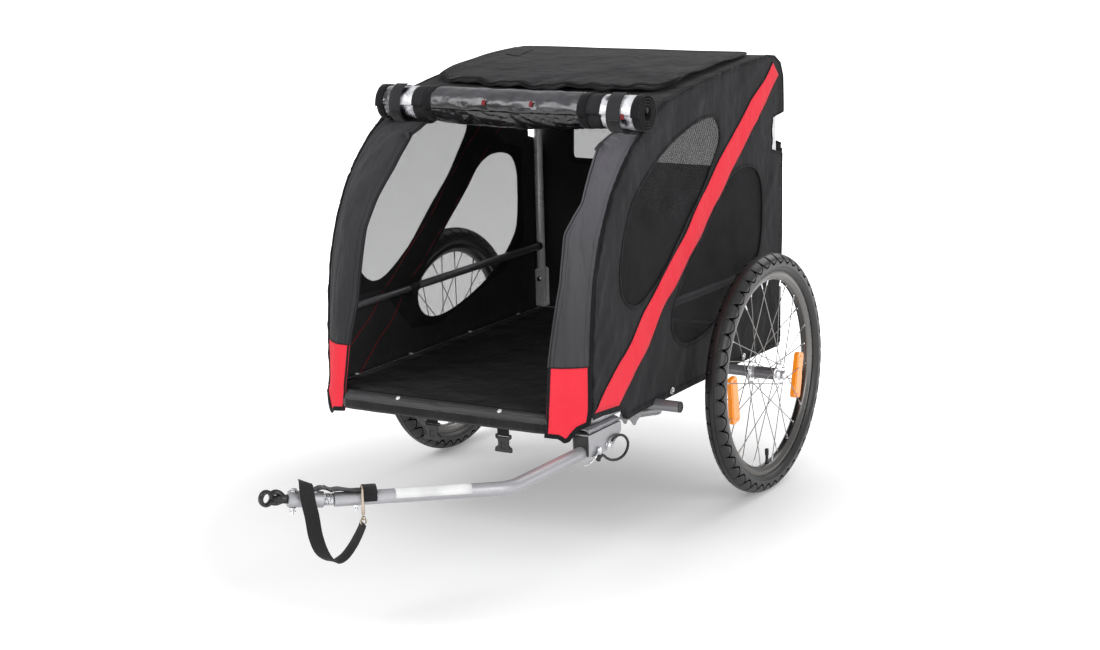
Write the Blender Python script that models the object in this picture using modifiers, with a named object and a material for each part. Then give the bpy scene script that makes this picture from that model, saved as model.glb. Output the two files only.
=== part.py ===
# Two-wheeled pet trailer that hitches to a bicycle: tube floor frame, two side hoops,
# a fabric cabin with mesh windows, spoked 20-inch wheels and a pinned drawbar.
# Lengths are metres. +Z is up, the drawbar points to -Y, and +X is the trailer's left side.
import math

import bmesh
import bpy
from mathutils import Matrix, Vector

# Driving dimensions: wheels
TYRE_HALF_WIDTH = 0.0210
TYRE_SECTION = 0.0355
TYRE_WALL = 0.0035
RIM_R = 0.2095
RIM_DEPTH = 0.0180
TYRE_R = RIM_R + TYRE_SECTION
RIM_HALF_WIDTH = 0.0125
WHEEL_X = 0.3830
HUB_HALF_LENGTH = 0.0360
HUB_SHELL_R = 0.0110
FLANGE_R = 0.0240
FLANGE_X = 0.0300
FLANGE_T = 0.0030
SPOKE_R = 0.0011
SPOKES_PER_FLANGE = 14
AXLE_R = 0.0060
BORE_CLEARANCE = 0.0005
AXLE_COLLAR = 0.0035
REFLECTOR_R = RIM_R - 0.0595
REFLECTOR_T = 0.0074

# Driving dimensions: frame
GAP = 0.0003
FRAME_TUBE_R = 0.0125
CROSS_TUBE_R = 0.0110
FRONT_TUBE_Y = -0.6000
REAR_TUBE_Y = 0.2365
FRAME_CORNER_R = 0.0850
MID_TUBE_Y = -0.3180
STUB_REACH = 0.0560
LEG_X = 0.2487
LEG_R = 0.0085
LEG_PLATE_T = 0.0025
LEG_PIVOT_Y = MID_TUBE_Y - 0.0050
LEG_PIVOT_DROP = 0.0250
LEG_REACH = 0.1150
LEG_FALL = 0.0190

# Driving dimensions: cabin
SKIN_X = 0.2985
SKIN_T = 0.0020
HOOP_R = 0.0095
SIDE_BAR_R = 0.0080
SIDE_BAR_Z = 0.4210
SLIDE_END_Y = -0.2800
BRACKET_T = 0.0020
BRACKET_RISE = 0.0880
ROOF_BAR_R = 0.0080
FLOOR_T = 0.0030
MESH_T = 0.0008
BAND_T = 0.0010
ROLL_R = 0.0380
ROLL_ENDS = (-0.2810, 0.3125)
ROLL_Y = -0.3560
ROLL_Z = 0.8129

# Driving dimensions: drawbar and hitch
DRAWBAR_R = 0.0125
DRAWBAR_X = 0.2850
DRAWBAR_DROP = 0.0433
DRAWBAR_BEND_R = 0.0700
DRAWBAR_CORNER_Y = -0.8300
PIVOT_Y = -0.5140
LOCK_Y = -0.5520
BOLT_R = 0.0040
CHANNEL_T = 0.0025
LINER_T = 0.0025
CHANNEL_FRONT_Y = -0.583
CHANNEL_REAR_Y = -0.462
TAPER_START_Y = -0.505
TAPER_END_Y = -0.452
LINER_REAR_Y = -0.538
COUPLER_R = 0.0140
COUPLER_REACH = 0.0795
PIN_REACH = 0.0700
SHAFT_R = 0.0073
SPRING_LENGTH = 0.0180
SPRING_R = 0.0105
SPRING_WIRE_R = 0.0011
SPRING_TURNS = 5
EYE_R = 0.0150
EYE_BORE_R = 0.0070
EYE_T = 0.0100
EYE_TURN = math.radians(20)

# Places that follow from the values above
AXLE_Z = TYRE_R
RAIL_Z = AXLE_Z + CROSS_TUBE_R + GAP + FRAME_TUBE_R
RAIL_X = SKIN_X - SKIN_T - GAP - FRAME_TUBE_R
HOOP_X = SKIN_X - SKIN_T - GAP - HOOP_R
FRAME_TOP = RAIL_Z + FRAME_TUBE_R
FRAME_BOTTOM = RAIL_Z - FRAME_TUBE_R
LEG_PIVOT = (LEG_PIVOT_Y, AXLE_Z - LEG_PIVOT_DROP)
LEG_TIP = (LEG_PIVOT_Y + LEG_REACH, AXLE_Z - LEG_PIVOT_DROP - LEG_FALL)
DRAWBAR_Z = FRAME_BOTTOM - DRAWBAR_DROP
DRAWBAR_END = (0.0790, -1.0680, DRAWBAR_Z + 0.0170)
HITCH_EYE = (0.0035, -1.1550, DRAWBAR_Z + 0.0320)
CHANNEL_LOW = DRAWBAR_Z - 0.0085
TAPER_END_Z = DRAWBAR_Z + 0.0180
CABIN_REAR = 0.2700
HITCH_FRONT = HITCH_EYE[1] - EYE_R * math.cos(EYE_TURN) - EYE_T / 2 * math.sin(EYE_TURN)
AXLE_Y = -(CABIN_REAR + HITCH_FRONT) / 2
FLOOR_HALF_WIDTH = HOOP_X - HOOP_R - 0.0007
CORNER_X = RAIL_X - FRAME_CORNER_R
SIDES = {"left": 1, "right": -1}

# Side outline of the cabin's skin as (y, z), from the front bottom corner over the roof
FRONT_EDGE = [
    (-0.5630, 0.2770),
    (-0.5590, 0.3000),
    (-0.5570, 0.3800),
    (-0.5500, 0.4550),
    (-0.5400, 0.5200),
    (-0.5210, 0.5810),
    (-0.4960, 0.6330),
    (-0.4680, 0.6770),
    (-0.4300, 0.7170),
    (-0.3980, 0.7445),
    (-0.3630, 0.7675),
    (-0.3376, 0.7835),
]
ROOF_EDGE = [
    (-0.3376, 0.7835), (-0.312, 0.7995), (-0.255, 0.825), (-0.172, 0.838), (-0.088, 0.849),
    (0.045, 0.861), (0.190, 0.869),
]
REAR_EDGE = [
    (0.228, 0.864), (0.255, 0.848), (0.268, 0.820), (0.270, 0.780), (0.262, 0.600), (0.255, 0.400),
    (0.252, 0.262),
]

# Height of the skin's lower edge, and the cut-outs there as (y from, y to, z)
HEM_Z = 0.2470
HEM_SLOPE = 0.0060
HEM_FRONT_Y = -0.4520
HEM_CUTS = [(-0.337, -0.299, 0.2600), (-0.020, 0.020, 0.2605)]

# Window openings in the side skin as (y, z)
FRONT_WINDOW = [
    (-0.033, 0.745), (-0.036, 0.715), (-0.074, 0.669), (-0.114, 0.627), (-0.171, 0.584), (-0.218, 0.545),
    (-0.270, 0.503), (-0.336, 0.466), (-0.384, 0.452), (-0.420, 0.462), (-0.444, 0.488), (-0.448, 0.525),
    (-0.439, 0.567), (-0.422, 0.611), (-0.390, 0.655), (-0.337, 0.693), (-0.279, 0.725), (-0.205, 0.752),
    (-0.128, 0.769), (-0.060, 0.771),
]
REAR_WINDOW = [
    (0.085, 0.652), (0.135, 0.640), (0.160, 0.608), (0.165, 0.555), (0.156, 0.480), (0.125, 0.440),
    (0.080, 0.408), (0.020, 0.378), (-0.045, 0.357), (-0.120, 0.340), (-0.180, 0.337), (-0.220, 0.350),
    (-0.243, 0.378), (-0.240, 0.412), (-0.215, 0.447), (-0.165, 0.495), (-0.105, 0.543), (-0.045, 0.590),
    (0.000, 0.630), (0.040, 0.648),
]

# Outline of the net behind both windows as (y, z)
WINDOW_NET = [
    (-0.462, 0.435), (-0.462, 0.560), (-0.400, 0.680), (-0.250, 0.755), (-0.020, 0.790), (0.100, 0.672),
    (0.180, 0.650), (0.180, 0.440), (0.100, 0.390), (-0.180, 0.320), (-0.270, 0.330), (-0.380, 0.435),
]

# Red band across the side skin: its upper and lower edges as (y, z)
BAND_UPPER = [
    (0.217, 0.855), (0.163, 0.815), (0.054, 0.745), (-0.033, 0.684), (-0.113, 0.618), (-0.200, 0.551),
    (-0.307, 0.472), (-0.410, 0.395), (-0.478, 0.345), (-0.552, 0.300),
]
BAND_LOWER = [
    (-0.463, 0.279), (-0.420, 0.306), (-0.353, 0.364), (-0.263, 0.434), (-0.168, 0.506), (-0.070, 0.581),
    (0.030, 0.656), (0.129, 0.732), (0.246, 0.823),
]

# Inner edge of the front corner panels: distance from the middle at each height
CORNER_INNER = {
    "left": [
        (0.243, 0.225), (0.300, 0.228), (0.380, 0.233), (0.455, 0.243), (0.520, 0.252), (0.581, 0.245),
        (0.633, 0.274), (0.677, 0.268), (0.717, 0.262), (0.801, 0.262),
    ],
    "right": [
        (0.243, 0.229), (0.300, 0.223), (0.380, 0.211), (0.455, 0.194), (0.520, 0.190), (0.581, 0.190),
        (0.633, 0.179), (0.677, 0.162), (0.717, 0.154), (0.801, 0.140),
    ],
}
CORNER_START = {"left": 0.0016, "right": 0.0009}
CORNER_DEPTH = 0.0470
CORNER_BULGE = {"left": 0.0080, "right": 0.0160}
CORNER_HEM = [0.2600, 0.2575, 0.2500, 0.2450, 0.2430]
BACK_WINDOW = (0.212, 0.600, 0.800)

# Safety strap from the wrap on the bar, over the coupler and down in a loop to the snap hook.
# Each place is (past the bar's end, outward from the bar, above its axis, turn of the webbing in degrees).
STRAP_WIDTH = 0.0250
STRAP_T = 0.0020
WRAP_PLACE = -0.0610
STRAP_ROUTE = [
    (-0.0560, 0.0000, 0.0141, 0), (-0.0465, 0.0000, 0.0141, 0), (-0.0327, 0.0000, 0.0143, 0),
    (-0.0207, 0.0000, 0.0164, 0), (-0.0086, 0.0000, 0.0181, 0), (0.0037, 0.0000, 0.0148, 0),
    (0.0137, 0.0000, 0.0215, 0), (0.0222, 0.0000, 0.0230, 0), (0.0310, 0.0000, 0.0200, 0),
    (0.0400, 0.0015, 0.0225, 25), (0.0465, 0.0060, 0.0280, 52), (0.0500, 0.0130, 0.0325, 78),
    (0.0508, 0.0195, 0.0310, 90), (0.0505, 0.0230, 0.0240, 90), (0.0490, 0.0235, 0.0100, 88),
    (0.0466, 0.0230, -0.0030, 86), (0.0427, 0.0215, -0.0220, 82), (0.0374, 0.0200, -0.0545, 78),
    (0.0279, 0.0180, -0.0824, 64), (0.0144, 0.0160, -0.0992, 44), (0.0006, 0.0150, -0.1050, 34),
    (-0.0137, 0.0150, -0.0971, 34), (-0.0283, 0.0160, -0.0765, 36), (-0.0375, 0.0180, -0.0569, 38),
    (-0.0430, 0.0200, -0.0389, 40), (-0.0455, 0.0208, -0.0275, 40),
]
HOOK_ROUTE = [
    (-0.0468, 0.0209, -0.0262), (-0.0466, 0.0190, -0.0120), (-0.0464, 0.0188, 0.0060),
    (-0.0462, 0.0185, 0.0185), (-0.0462, 0.0150, 0.0215), (-0.0462, 0.0090, 0.0185),
]

# Rubber loop from the knot under the locking pin to the head of the pivot bolt, as (y, z) from the bolt
TETHER_LOOP = [
    (-0.0420, -0.0120), (-0.0330, -0.0110), (-0.0240, -0.0140), (-0.0140, -0.0210), (0.0040, -0.0290),
    (0.0280, -0.0335), (0.0510, -0.0310), (0.0650, -0.0210), (0.0660, -0.0080), (0.0530, 0.0050),
    (0.0340, 0.0115), (0.0150, 0.0110), (0.0060, 0.0073),
]

# Wire bail of the locking pin as (outward from its head, ahead of the pin, below it)
BAIL = [
    (0.0030, 0.0000, 0.0000), (0.0045, 0.0085, 0.0025), (0.0040, 0.0165, 0.0085), (0.0006, 0.0220, 0.0150),
    (-0.0029, 0.0270, 0.0185), (-0.0039, 0.0340, 0.0200), (-0.0039, 0.0410, 0.0195),
]

# Side-release buckles under the front tube: distance from the middle and height of the lower end
BUCKLES = {"left": (0.1280, 0.2040), "right": (-0.0310, 0.2090)}

for old in list(bpy.data.objects):
    bpy.data.objects.remove(old, do_unlink=True)

trailer = bpy.data.collections.new("bicycle_trailer")
cutters = bpy.data.collections.new("cutters")
bpy.context.scene.collection.children.link(trailer)
bpy.context.scene.collection.children.link(cutters)


def new_material(name, colour, roughness, metallic=0.0):
    material = bpy.data.materials.new(name)
    material.use_nodes = True
    shader = material.node_tree.nodes["Principled BSDF"]
    shader.inputs["Base Color"].default_value = (*colour, 1.0)
    shader.inputs["Roughness"].default_value = roughness
    shader.inputs["Metallic"].default_value = metallic
    material.diffuse_color = (*colour, 1.0)
    return material


FABRIC = ((0.035, 0.035, 0.038), 0.9, 0.0)
MESH_CLOTH = ((0.09, 0.09, 0.095), 0.8, 0.0)
RED = ((0.85, 0.03, 0.05), 0.8, 0.0)
SILVER = ((0.62, 0.63, 0.65), 0.35, 1.0)
GREY_METAL = ((0.16, 0.16, 0.17), 0.4, 0.8)
ZINC = ((0.72, 0.73, 0.75), 0.25, 1.0)
BLACK_METAL = ((0.02, 0.02, 0.02), 0.45, 0.6)
PLASTIC = ((0.02, 0.02, 0.022), 0.5, 0.0)
TYRE_RUBBER = ((0.015, 0.015, 0.016), 0.8, 0.0)
ORANGE = ((0.95, 0.25, 0.01), 0.3, 0.0)
VINYL = ((0.03, 0.03, 0.034), 0.3, 0.0)


def empty(name, place, parent=None):
    guide = bpy.data.objects.new(name, None)
    guide.empty_display_size = 0.03
    guide.location = place
    guide.parent = parent
    trailer.objects.link(guide)
    return guide


# Every piece hangs from an empty on its body's own axis, given in the axle's frame
axle_origin = empty("axle_origin", (0, AXLE_Y, 0))


PLACES = {}


def joint_empty(name, place, parent=None):
    guide = empty(name, Vector(place) - Vector(PLACES.get(parent, (0, 0, 0))), parent or axle_origin)
    PLACES[guide] = tuple(place)
    return guide


def add(name, data, finish, carrier=None):
    """Makes a node of mesh or curve data drawn in the axle's frame, hung from its carrier."""
    carrier = carrier or axle_origin
    data.transform(Matrix.Translation(-Vector(PLACES.get(carrier, (0, 0, 0)))))
    node = bpy.data.objects.new(name, data)
    node.parent = carrier
    data.materials.append(new_material(name, *finish))
    trailer.objects.link(node)
    return node


def cutter(name, data):
    tool = bpy.data.objects.new(name, data)
    tool.parent = axle_origin
    tool.display_type = "WIRE"
    tool.hide_render = True
    cutters.objects.link(tool)
    return tool


def boolean(node, operation, tool):
    modifier = node.modifiers.new(operation.lower() + "_" + tool.name, "BOOLEAN")
    modifier.operation = operation
    modifier.solver = "EXACT"
    modifier.object = tool


def carrier_cutter(name, data, carrier):
    """A cutter that hangs from the same carrier as the node it cuts."""
    data.transform(Matrix.Translation(-Vector(PLACES[carrier])))
    tool = cutter(name, data)
    tool.parent = carrier
    return tool


def mesh_from(name, build):
    work = bmesh.new()
    build(work)
    mesh = bpy.data.meshes.new(name)
    work.to_mesh(mesh)
    work.free()
    return mesh


def wire_data(name, points, radius, resolution):
    curve = bpy.data.curves.new(name, "CURVE")
    curve.dimensions = "3D"
    curve.bevel_depth = radius
    curve.bevel_resolution = resolution
    curve.use_fill_caps = True
    spline = curve.splines.new("POLY")
    spline.points.add(len(points) - 1)
    for point, place in zip(spline.points, points):
        point.co = (*place, 1.0)
    return curve


def mesh_of_wire(name, points, radius, resolution=2):
    """The closed mesh of a capped wire, for booleans."""
    curve = wire_data(name + "_wire", points, radius, resolution)
    guide = bpy.data.objects.new(name + "_wire", curve)
    bpy.context.scene.collection.objects.link(guide)
    graph = bpy.context.evaluated_depsgraph_get()
    mesh = bpy.data.meshes.new_from_object(guide.evaluated_get(graph))
    bpy.data.objects.remove(guide, do_unlink=True)
    work = bmesh.new()
    work.from_mesh(mesh)
    bmesh.ops.remove_doubles(work, verts=work.verts, dist=1e-6)
    work.to_mesh(mesh)
    work.free()
    mesh.name = name
    return mesh


def tube(name, points, radius, finish, carrier=None, resolution=4):
    return add(name, wire_data(name, points, radius, resolution), finish, carrier)


def filleted(points, radius, steps=6):
    """A path through the points with each inner corner rounded to the radius."""
    path = [Vector(points[0])]
    for before, corner, after in zip(points, points[1:], points[2:]):
        corner = Vector(corner)
        into = (Vector(before) - corner).normalized()
        out = (Vector(after) - corner).normalized()
        half = into.angle(out) / 2
        reach = radius / math.tan(half)
        centre = corner + (into + out).normalized() * radius / math.sin(half)
        start = corner + into * reach
        end = corner + out * reach
        for step in range(steps + 1):
            blend = start.lerp(end, step / steps) - centre
            path.append(centre + blend.normalized() * radius)
    path.append(Vector(points[-1]))
    return path


# Frames for flat outlines: each maps the outline's (u, v) and its thickness to X, Y, Z
YZ_PLANE = Matrix(((0, 0, 1), (1, 0, 0), (0, 1, 0))).to_4x4()
XZ_PLANE = Matrix(((1, 0, 0), (0, 0, -1), (0, 1, 0))).to_4x4()
XY_PLANE = Matrix.Identity(4)


def plate_data(name, loops, thickness, plane, middle):
    """A flat outline with holes, given thickness about the plane at the middle place."""
    curve = bpy.data.curves.new(name, "CURVE")
    curve.dimensions = "2D"
    curve.fill_mode = "BOTH"
    curve.extrude = thickness / 2
    for loop in loops:
        spline = curve.splines.new("POLY")
        spline.points.add(len(loop) - 1)
        spline.use_cyclic_u = True
        for point, (u, v) in zip(spline.points, loop):
            point.co = (u, v, 0.0, 1.0)
    guide = bpy.data.objects.new(name + "_outline", curve)
    bpy.context.scene.collection.objects.link(guide)
    graph = bpy.context.evaluated_depsgraph_get()
    mesh = bpy.data.meshes.new_from_object(guide.evaluated_get(graph))
    bpy.data.objects.remove(guide, do_unlink=True)
    work = bmesh.new()
    work.from_mesh(mesh)
    bmesh.ops.remove_doubles(work, verts=work.verts, dist=1e-6)
    bmesh.ops.recalc_face_normals(work, faces=work.faces)
    work.to_mesh(mesh)
    work.free()
    mesh.transform(Matrix.Translation(middle) @ plane)
    return mesh


def plate(name, loops, thickness, plane, middle, finish, carrier=None):
    return add(name, plate_data(name, loops, thickness, plane, middle), finish, carrier)


def box_data(name, low, high):
    low = Vector(low)
    high = Vector(high)
    place = Matrix.Translation((low + high) / 2) @ Matrix.Diagonal((*(high - low), 1.0))

    def build(work):
        bmesh.ops.create_cube(work, size=1.0, matrix=place)

    return mesh_from(name, build)


def add_rod(work, start, end, radius, sides):
    turn = (end - start).to_track_quat("Z", "Y").to_matrix().to_4x4()
    bmesh.ops.create_cone(
        work,
        cap_ends=True,
        segments=sides,
        radius1=radius,
        radius2=radius,
        depth=(end - start).length,
        matrix=Matrix.Translation((start + end) / 2) @ turn,
    )


def add_ball(work, centre, radius, sides):
    bmesh.ops.create_uvsphere(
        work, u_segments=sides, v_segments=8, radius=radius, matrix=Matrix.Translation(centre)
    )


def rod_data(name, start, end, radius, sides=16):
    """A plain round rod between two places."""
    return mesh_from(name, lambda work: add_rod(work, Vector(start), Vector(end), radius, sides))


def smooth(node):
    node.data.shade_smooth()
    node.data.set_sharp_from_angle(angle=math.radians(35))


def turned(name, profile, finish, carrier, turn, place, steps, closed=False):
    """A turned piece: (radius, height) points running down the outer side, on the axis that turn gives."""
    work = bmesh.new()
    corners = [work.verts.new((radius, 0.0, height)) for radius, height in profile]
    pairs = list(zip(corners, corners[1:]))
    if closed:
        pairs.append((corners[-1], corners[0]))
    for pair in pairs:
        work.edges.new(pair)
    mesh = bpy.data.meshes.new(name)
    work.to_mesh(mesh)
    work.free()
    node = bpy.data.objects.new(name, mesh)
    node.parent = carrier
    node.matrix_local = Matrix.Translation(Vector(place) - Vector(PLACES.get(carrier, (0, 0, 0)))) @ turn
    mesh.materials.append(new_material(name, *finish))
    trailer.objects.link(node)
    screw = node.modifiers.new("turn", "SCREW")
    screw.axis = "Z"
    screw.steps = steps
    screw.render_steps = steps
    screw.use_merge_vertices = True
    screw.merge_threshold = 0.00001
    screw.use_smooth_shade = True
    return node


ALONG_X = Matrix.Rotation(math.pi / 2, 4, "Y")


def sheet(name, rows, thickness, finish, offset=-1.0, carrier=None):
    """A cloth from rows of points, thickened by Solidify."""
    work = bmesh.new()
    grid = [[work.verts.new(point) for point in row] for row in rows]
    for lower, upper in zip(grid, grid[1:]):
        for a, b, c, d in zip(lower, lower[1:], upper[1:], upper):
            work.faces.new((a, b, c, d))
    mesh = bpy.data.meshes.new(name)
    work.to_mesh(mesh)
    work.free()
    node = add(name, mesh, finish, carrier)
    solid = node.modifiers.new("thickness", "SOLIDIFY")
    solid.thickness = thickness
    solid.offset = offset
    solid.use_even_offset = True
    smooth(node)
    return node


def between(pairs, value):
    """Reads a value off (key, value) pairs by straight interpolation."""
    for (low, first), (high, last) in zip(pairs, pairs[1:]):
        if value <= high:
            return first + (last - first) * (value - low) / (high - low)
    return pairs[-1][1]


def inset(path, distance):
    """The path moved to its right by a distance, with mitred corners."""
    moved = []
    for index, point in enumerate(path):
        before = Vector(path[max(index - 1, 0)])
        after = Vector(path[min(index + 1, len(path) - 1)])
        way = (after - before).normalized()
        moved.append((point[0] + way.y * distance, point[1] - way.x * distance))
    return moved


def profile_y(path, z):
    """Where an outline running down or up stands at a height."""
    return between(sorted((height, y) for y, height in path), z)


# Floor frame
def make_floor_frame():
    rail_start = FRONT_TUBE_Y + FRAME_CORNER_R + 0.0080 + GAP
    path = [
        (-RAIL_X, rail_start - GAP, RAIL_Z), (-RAIL_X, FRONT_TUBE_Y, RAIL_Z),
        (RAIL_X, FRONT_TUBE_Y, RAIL_Z), (RAIL_X, rail_start - GAP, RAIL_Z),
    ]
    tube("front_cross_tube", filleted(path, FRAME_CORNER_R), FRAME_TUBE_R, SILVER)
    rail_end = REAR_TUBE_Y - FRAME_TUBE_R - GAP
    for side, sign in SIDES.items():
        ends = [(sign * RAIL_X, rail_start, RAIL_Z), (sign * RAIL_X, rail_end, RAIL_Z)]
        tube(side + "_side_rail", ends, FRAME_TUBE_R, SILVER)
    reach = RAIL_X + FRAME_TUBE_R
    ends = [(-reach, REAR_TUBE_Y, RAIL_Z), (reach, REAR_TUBE_Y, RAIL_Z)]
    tube("rear_cross_tube", ends, FRAME_TUBE_R, SILVER)
    stub = SKIN_X + STUB_REACH
    ends = [(-stub, MID_TUBE_Y, AXLE_Z), (stub, MID_TUBE_Y, AXLE_Z)]
    tube("mid_cross_tube", ends, CROSS_TUBE_R, GREY_METAL)
    axle_end = WHEEL_X - HUB_HALF_LENGTH - AXLE_COLLAR - 2 * GAP
    tube("axle_tube", [(-axle_end, 0, AXLE_Z), (axle_end, 0, AXLE_Z)], CROSS_TUBE_R, GREY_METAL)


# Floor panel on the rails, and the sleeve that hangs over the front tube
def make_floor():
    bottom = FRAME_TOP + GAP
    front = FRONT_TUBE_Y - 0.0010
    back = REAR_TUBE_Y - 0.0200
    bend_y = FRONT_TUBE_Y + FRAME_CORNER_R
    half = [(CORNER_X, front)]
    for step in range(1, 7):
        turn = math.pi / 12 * step
        x = CORNER_X + (FLOOR_HALF_WIDTH - CORNER_X) * math.sin(turn)
        half.append((x, bend_y + (front - bend_y) * math.cos(turn)))
    half.append((FLOOR_HALF_WIDTH, back))
    outline = half + [(-x, y) for x, y in reversed(half)]
    plate("floor_panel", [outline], FLOOR_T, XY_PLANE, (0, 0, bottom + FLOOR_T / 2), FABRIC)
    outer = FRAME_TUBE_R + GAP + FLOOR_T
    rows = []
    for step in range(7):
        turn = math.radians(97.2 + 14.2 * step)
        rows.append((FRONT_TUBE_Y + outer * math.cos(turn), RAIL_Z + outer * math.sin(turn)))
    rows.append((rows[-1][0] + 0.0010, 0.2460))
    rows = [[(x, y, z) for x in (-CORNER_X, CORNER_X)] for y, z in rows]
    sheet("front_sleeve", rows, FLOOR_T, FABRIC, offset=1.0)


# Side hoops: the front leg and roof rail are one bent tube, and the rear post stands behind its end
def make_hoops():
    depth = SKIN_T + GAP + HOOP_R
    foot_z = FRAME_TOP + GAP
    inner = inset(FRONT_EDGE + ROOF_EDGE[1:] + REAR_EDGE[:2], depth)
    rail_end = REAR_TUBE_Y - HOOP_R - GAP
    foot_y = profile_y(inner[:6], foot_z + 0.012)
    path = [(foot_y, foot_z), (foot_y, foot_z + 0.012)]
    path += [point for point in inner if point[1] > foot_z + 0.02 and point[0] < rail_end - 0.01]
    path.append((rail_end, between(inner[-6:], rail_end)))
    post_top = between(inset(ROOF_EDGE + REAR_EDGE[:2], SKIN_T + 0.0008)[-4:], REAR_TUBE_Y + HOOP_R)
    post_foot = FRAME_TOP + 2 * GAP + BRACKET_T
    for side, sign in SIDES.items():
        x = sign * HOOP_X
        tube(side + "_hoop", [(x, y, z) for y, z in path], HOOP_R, GREY_METAL)
        ends = [(x, REAR_TUBE_Y, post_foot), (x, REAR_TUBE_Y, post_top)]
        tube(side + "_rear_post", ends, HOOP_R, GREY_METAL)
        front_y = profile_y(path[:6], SIDE_BAR_Z) + HOOP_R + 2 * GAP
        rear_y = REAR_TUBE_Y - HOOP_R - GAP
        bar_x = sign * (HOOP_X - 0.0032)
        joint = Vector((bar_x, SLIDE_END_Y, SIDE_BAR_Z))
        whole = rod_data(side + "_side_bar", joint, (bar_x, rear_y, SIDE_BAR_Z), SIDE_BAR_R, 20)
        bar = add(side + "_side_bar", whole, GREY_METAL)
        inside = joint + Vector((0, 0.01, 0))
        slide = rod_data(side + "_slide", (bar_x, front_y, SIDE_BAR_Z), inside, SIDE_BAR_R - 0.0015, 20)
        boolean(bar, "UNION", cutter(side + "_slide", slide))
        smooth(bar)
    reach = HOOP_X - HOOP_R - GAP
    for name, y in (("front_roof_bar", -0.285), ("rear_roof_bar", 0.190)):
        z = between(path[8:], y)
        tube(name, [(-reach, y, z), (reach, y, z)], ROOF_BAR_R, GREY_METAL)


# U brackets that hold the rear posts, with the hinge bolt through both cheeks
def make_post_brackets():
    base_z = FRAME_TOP + GAP
    inner = HOOP_R + GAP
    for side, sign in SIDES.items():
        low_x, high_x = sorted((sign * (HOOP_X - 0.0125), sign * (SKIN_X - SKIN_T - GAP)))
        front_y = REAR_TUBE_Y - inner - BRACKET_T
        rear_y = REAR_TUBE_Y + inner
        low = (low_x, front_y, base_z)
        base = box_data(side + "_post_bracket", low, (high_x, rear_y + BRACKET_T, base_z + BRACKET_T))
        bracket = add(side + "_post_bracket", base, SILVER)
        for face, y in (("front", front_y), ("rear", rear_y)):
            low = (low_x, y, base_z + BRACKET_T / 2)
            cheek = box_data(side + face, low, (high_x, y + BRACKET_T, base_z + BRACKET_RISE))
            boolean(bracket, "UNION", cutter(side + "_" + face + "_cheek", cheek))


# Parking leg, folded back between the two cheeks of its bracket under the middle cross tube
def make_parking_leg():
    pivot_y, pivot_z = LEG_PIVOT
    body = joint_empty("parking_leg_axis", (LEG_X, pivot_y, pivot_z))
    way = Vector((0, LEG_TIP[0] - pivot_y, LEG_TIP[1] - pivot_z)).normalized()
    tail = Vector((LEG_X, pivot_y, pivot_z)) - way * 0.0060
    tip = Vector((LEG_X, LEG_TIP[0], LEG_TIP[1]))
    leg = add("parking_leg", mesh_of_wire("parking_leg", [tail, tip - way * LEG_R], LEG_R, 4), SILVER, body)
    end = mesh_from("leg_end", lambda work: add_ball(work, tip - way * LEG_R, LEG_R, 16))
    boolean(leg, "UNION", carrier_cutter("leg_end", end, body))
    ends = [(LEG_X - 0.02, pivot_y, pivot_z), (LEG_X + 0.02, pivot_y, pivot_z)]
    hole = rod_data("leg_hole", *ends, 0.0034)
    boolean(leg, "DIFFERENCE", carrier_cutter("leg_hole", hole, body))
    smooth(leg)
    top = AXLE_Z - CROSS_TUBE_R - GAP
    front_y = MID_TUBE_Y - 0.0270
    back_y = MID_TUBE_Y + 0.0260
    edge = [(-0.030, -0.003), (-0.022, -0.006), (-0.011, -0.018), (-0.004, -0.0195), (0.002, -0.013)]
    edge += [(0.013, -0.008), (0.023, -0.004)]
    outline = [(front_y, top)] + [(pivot_y + y, pivot_z + z) for y, z in edge] + [(back_y, top)]
    reach = LEG_R + GAP
    half = reach + LEG_PLATE_T
    saddle = box_data(
        "leg_bracket", (LEG_X - half, front_y, top - LEG_PLATE_T), (LEG_X + half, back_y, top)
    )
    bracket = add("leg_bracket", saddle, SILVER)
    for name, sign in (("outer_cheek", 1), ("inner_cheek", -1)):
        middle = (LEG_X + sign * (reach + LEG_PLATE_T / 2), 0, 0)
        cheek = plate_data(name, [outline], LEG_PLATE_T, YZ_PLANE, middle)
        boolean(bracket, "UNION", cutter(name, cheek))
    span = reach + LEG_PLATE_T + 0.0015
    ends = [(LEG_X - span, pivot_y, pivot_z), (LEG_X + span, pivot_y, pivot_z)]
    pin = rod_data("leg_pin", *ends, 0.0030)
    boolean(bracket, "UNION", cutter("leg_pin", pin))


# Cabin skin: side panels with window openings
def hem():
    """The lower edge of the side skin from the rear to the front, with its cut-outs."""
    points = []
    for start, end, height in reversed(HEM_CUTS):
        points += [(end + HEM_SLOPE, HEM_Z), (end, height), (start, height), (start - HEM_SLOPE, HEM_Z)]
    points += [(HEM_FRONT_Y + HEM_SLOPE, HEM_Z), (HEM_FRONT_Y, FRONT_EDGE[0][1])]
    return points


def make_side_skin():
    outline = FRONT_EDGE + ROOF_EDGE[1:] + REAR_EDGE + [(0.240, HEM_Z)] + hem()
    for side, sign in SIDES.items():
        middle = (sign * (SKIN_X - SKIN_T / 2), 0, 0)
        plate(side + "_side_panel", [outline, FRONT_WINDOW, REAR_WINDOW], SKIN_T, YZ_PLANE, middle, FABRIC)
        middle = (sign * (SKIN_X - SKIN_T - GAP - MESH_T / 2), 0, 0)
        plate(side + "_window_mesh", [WINDOW_NET], MESH_T, YZ_PLANE, middle, MESH_CLOTH)
        middle = (sign * (SKIN_X + GAP + BAND_T / 2), 0, 0)
        plate(side + "_red_band", [BAND_UPPER + BAND_LOWER], BAND_T, YZ_PLANE, middle, RED)



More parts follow.
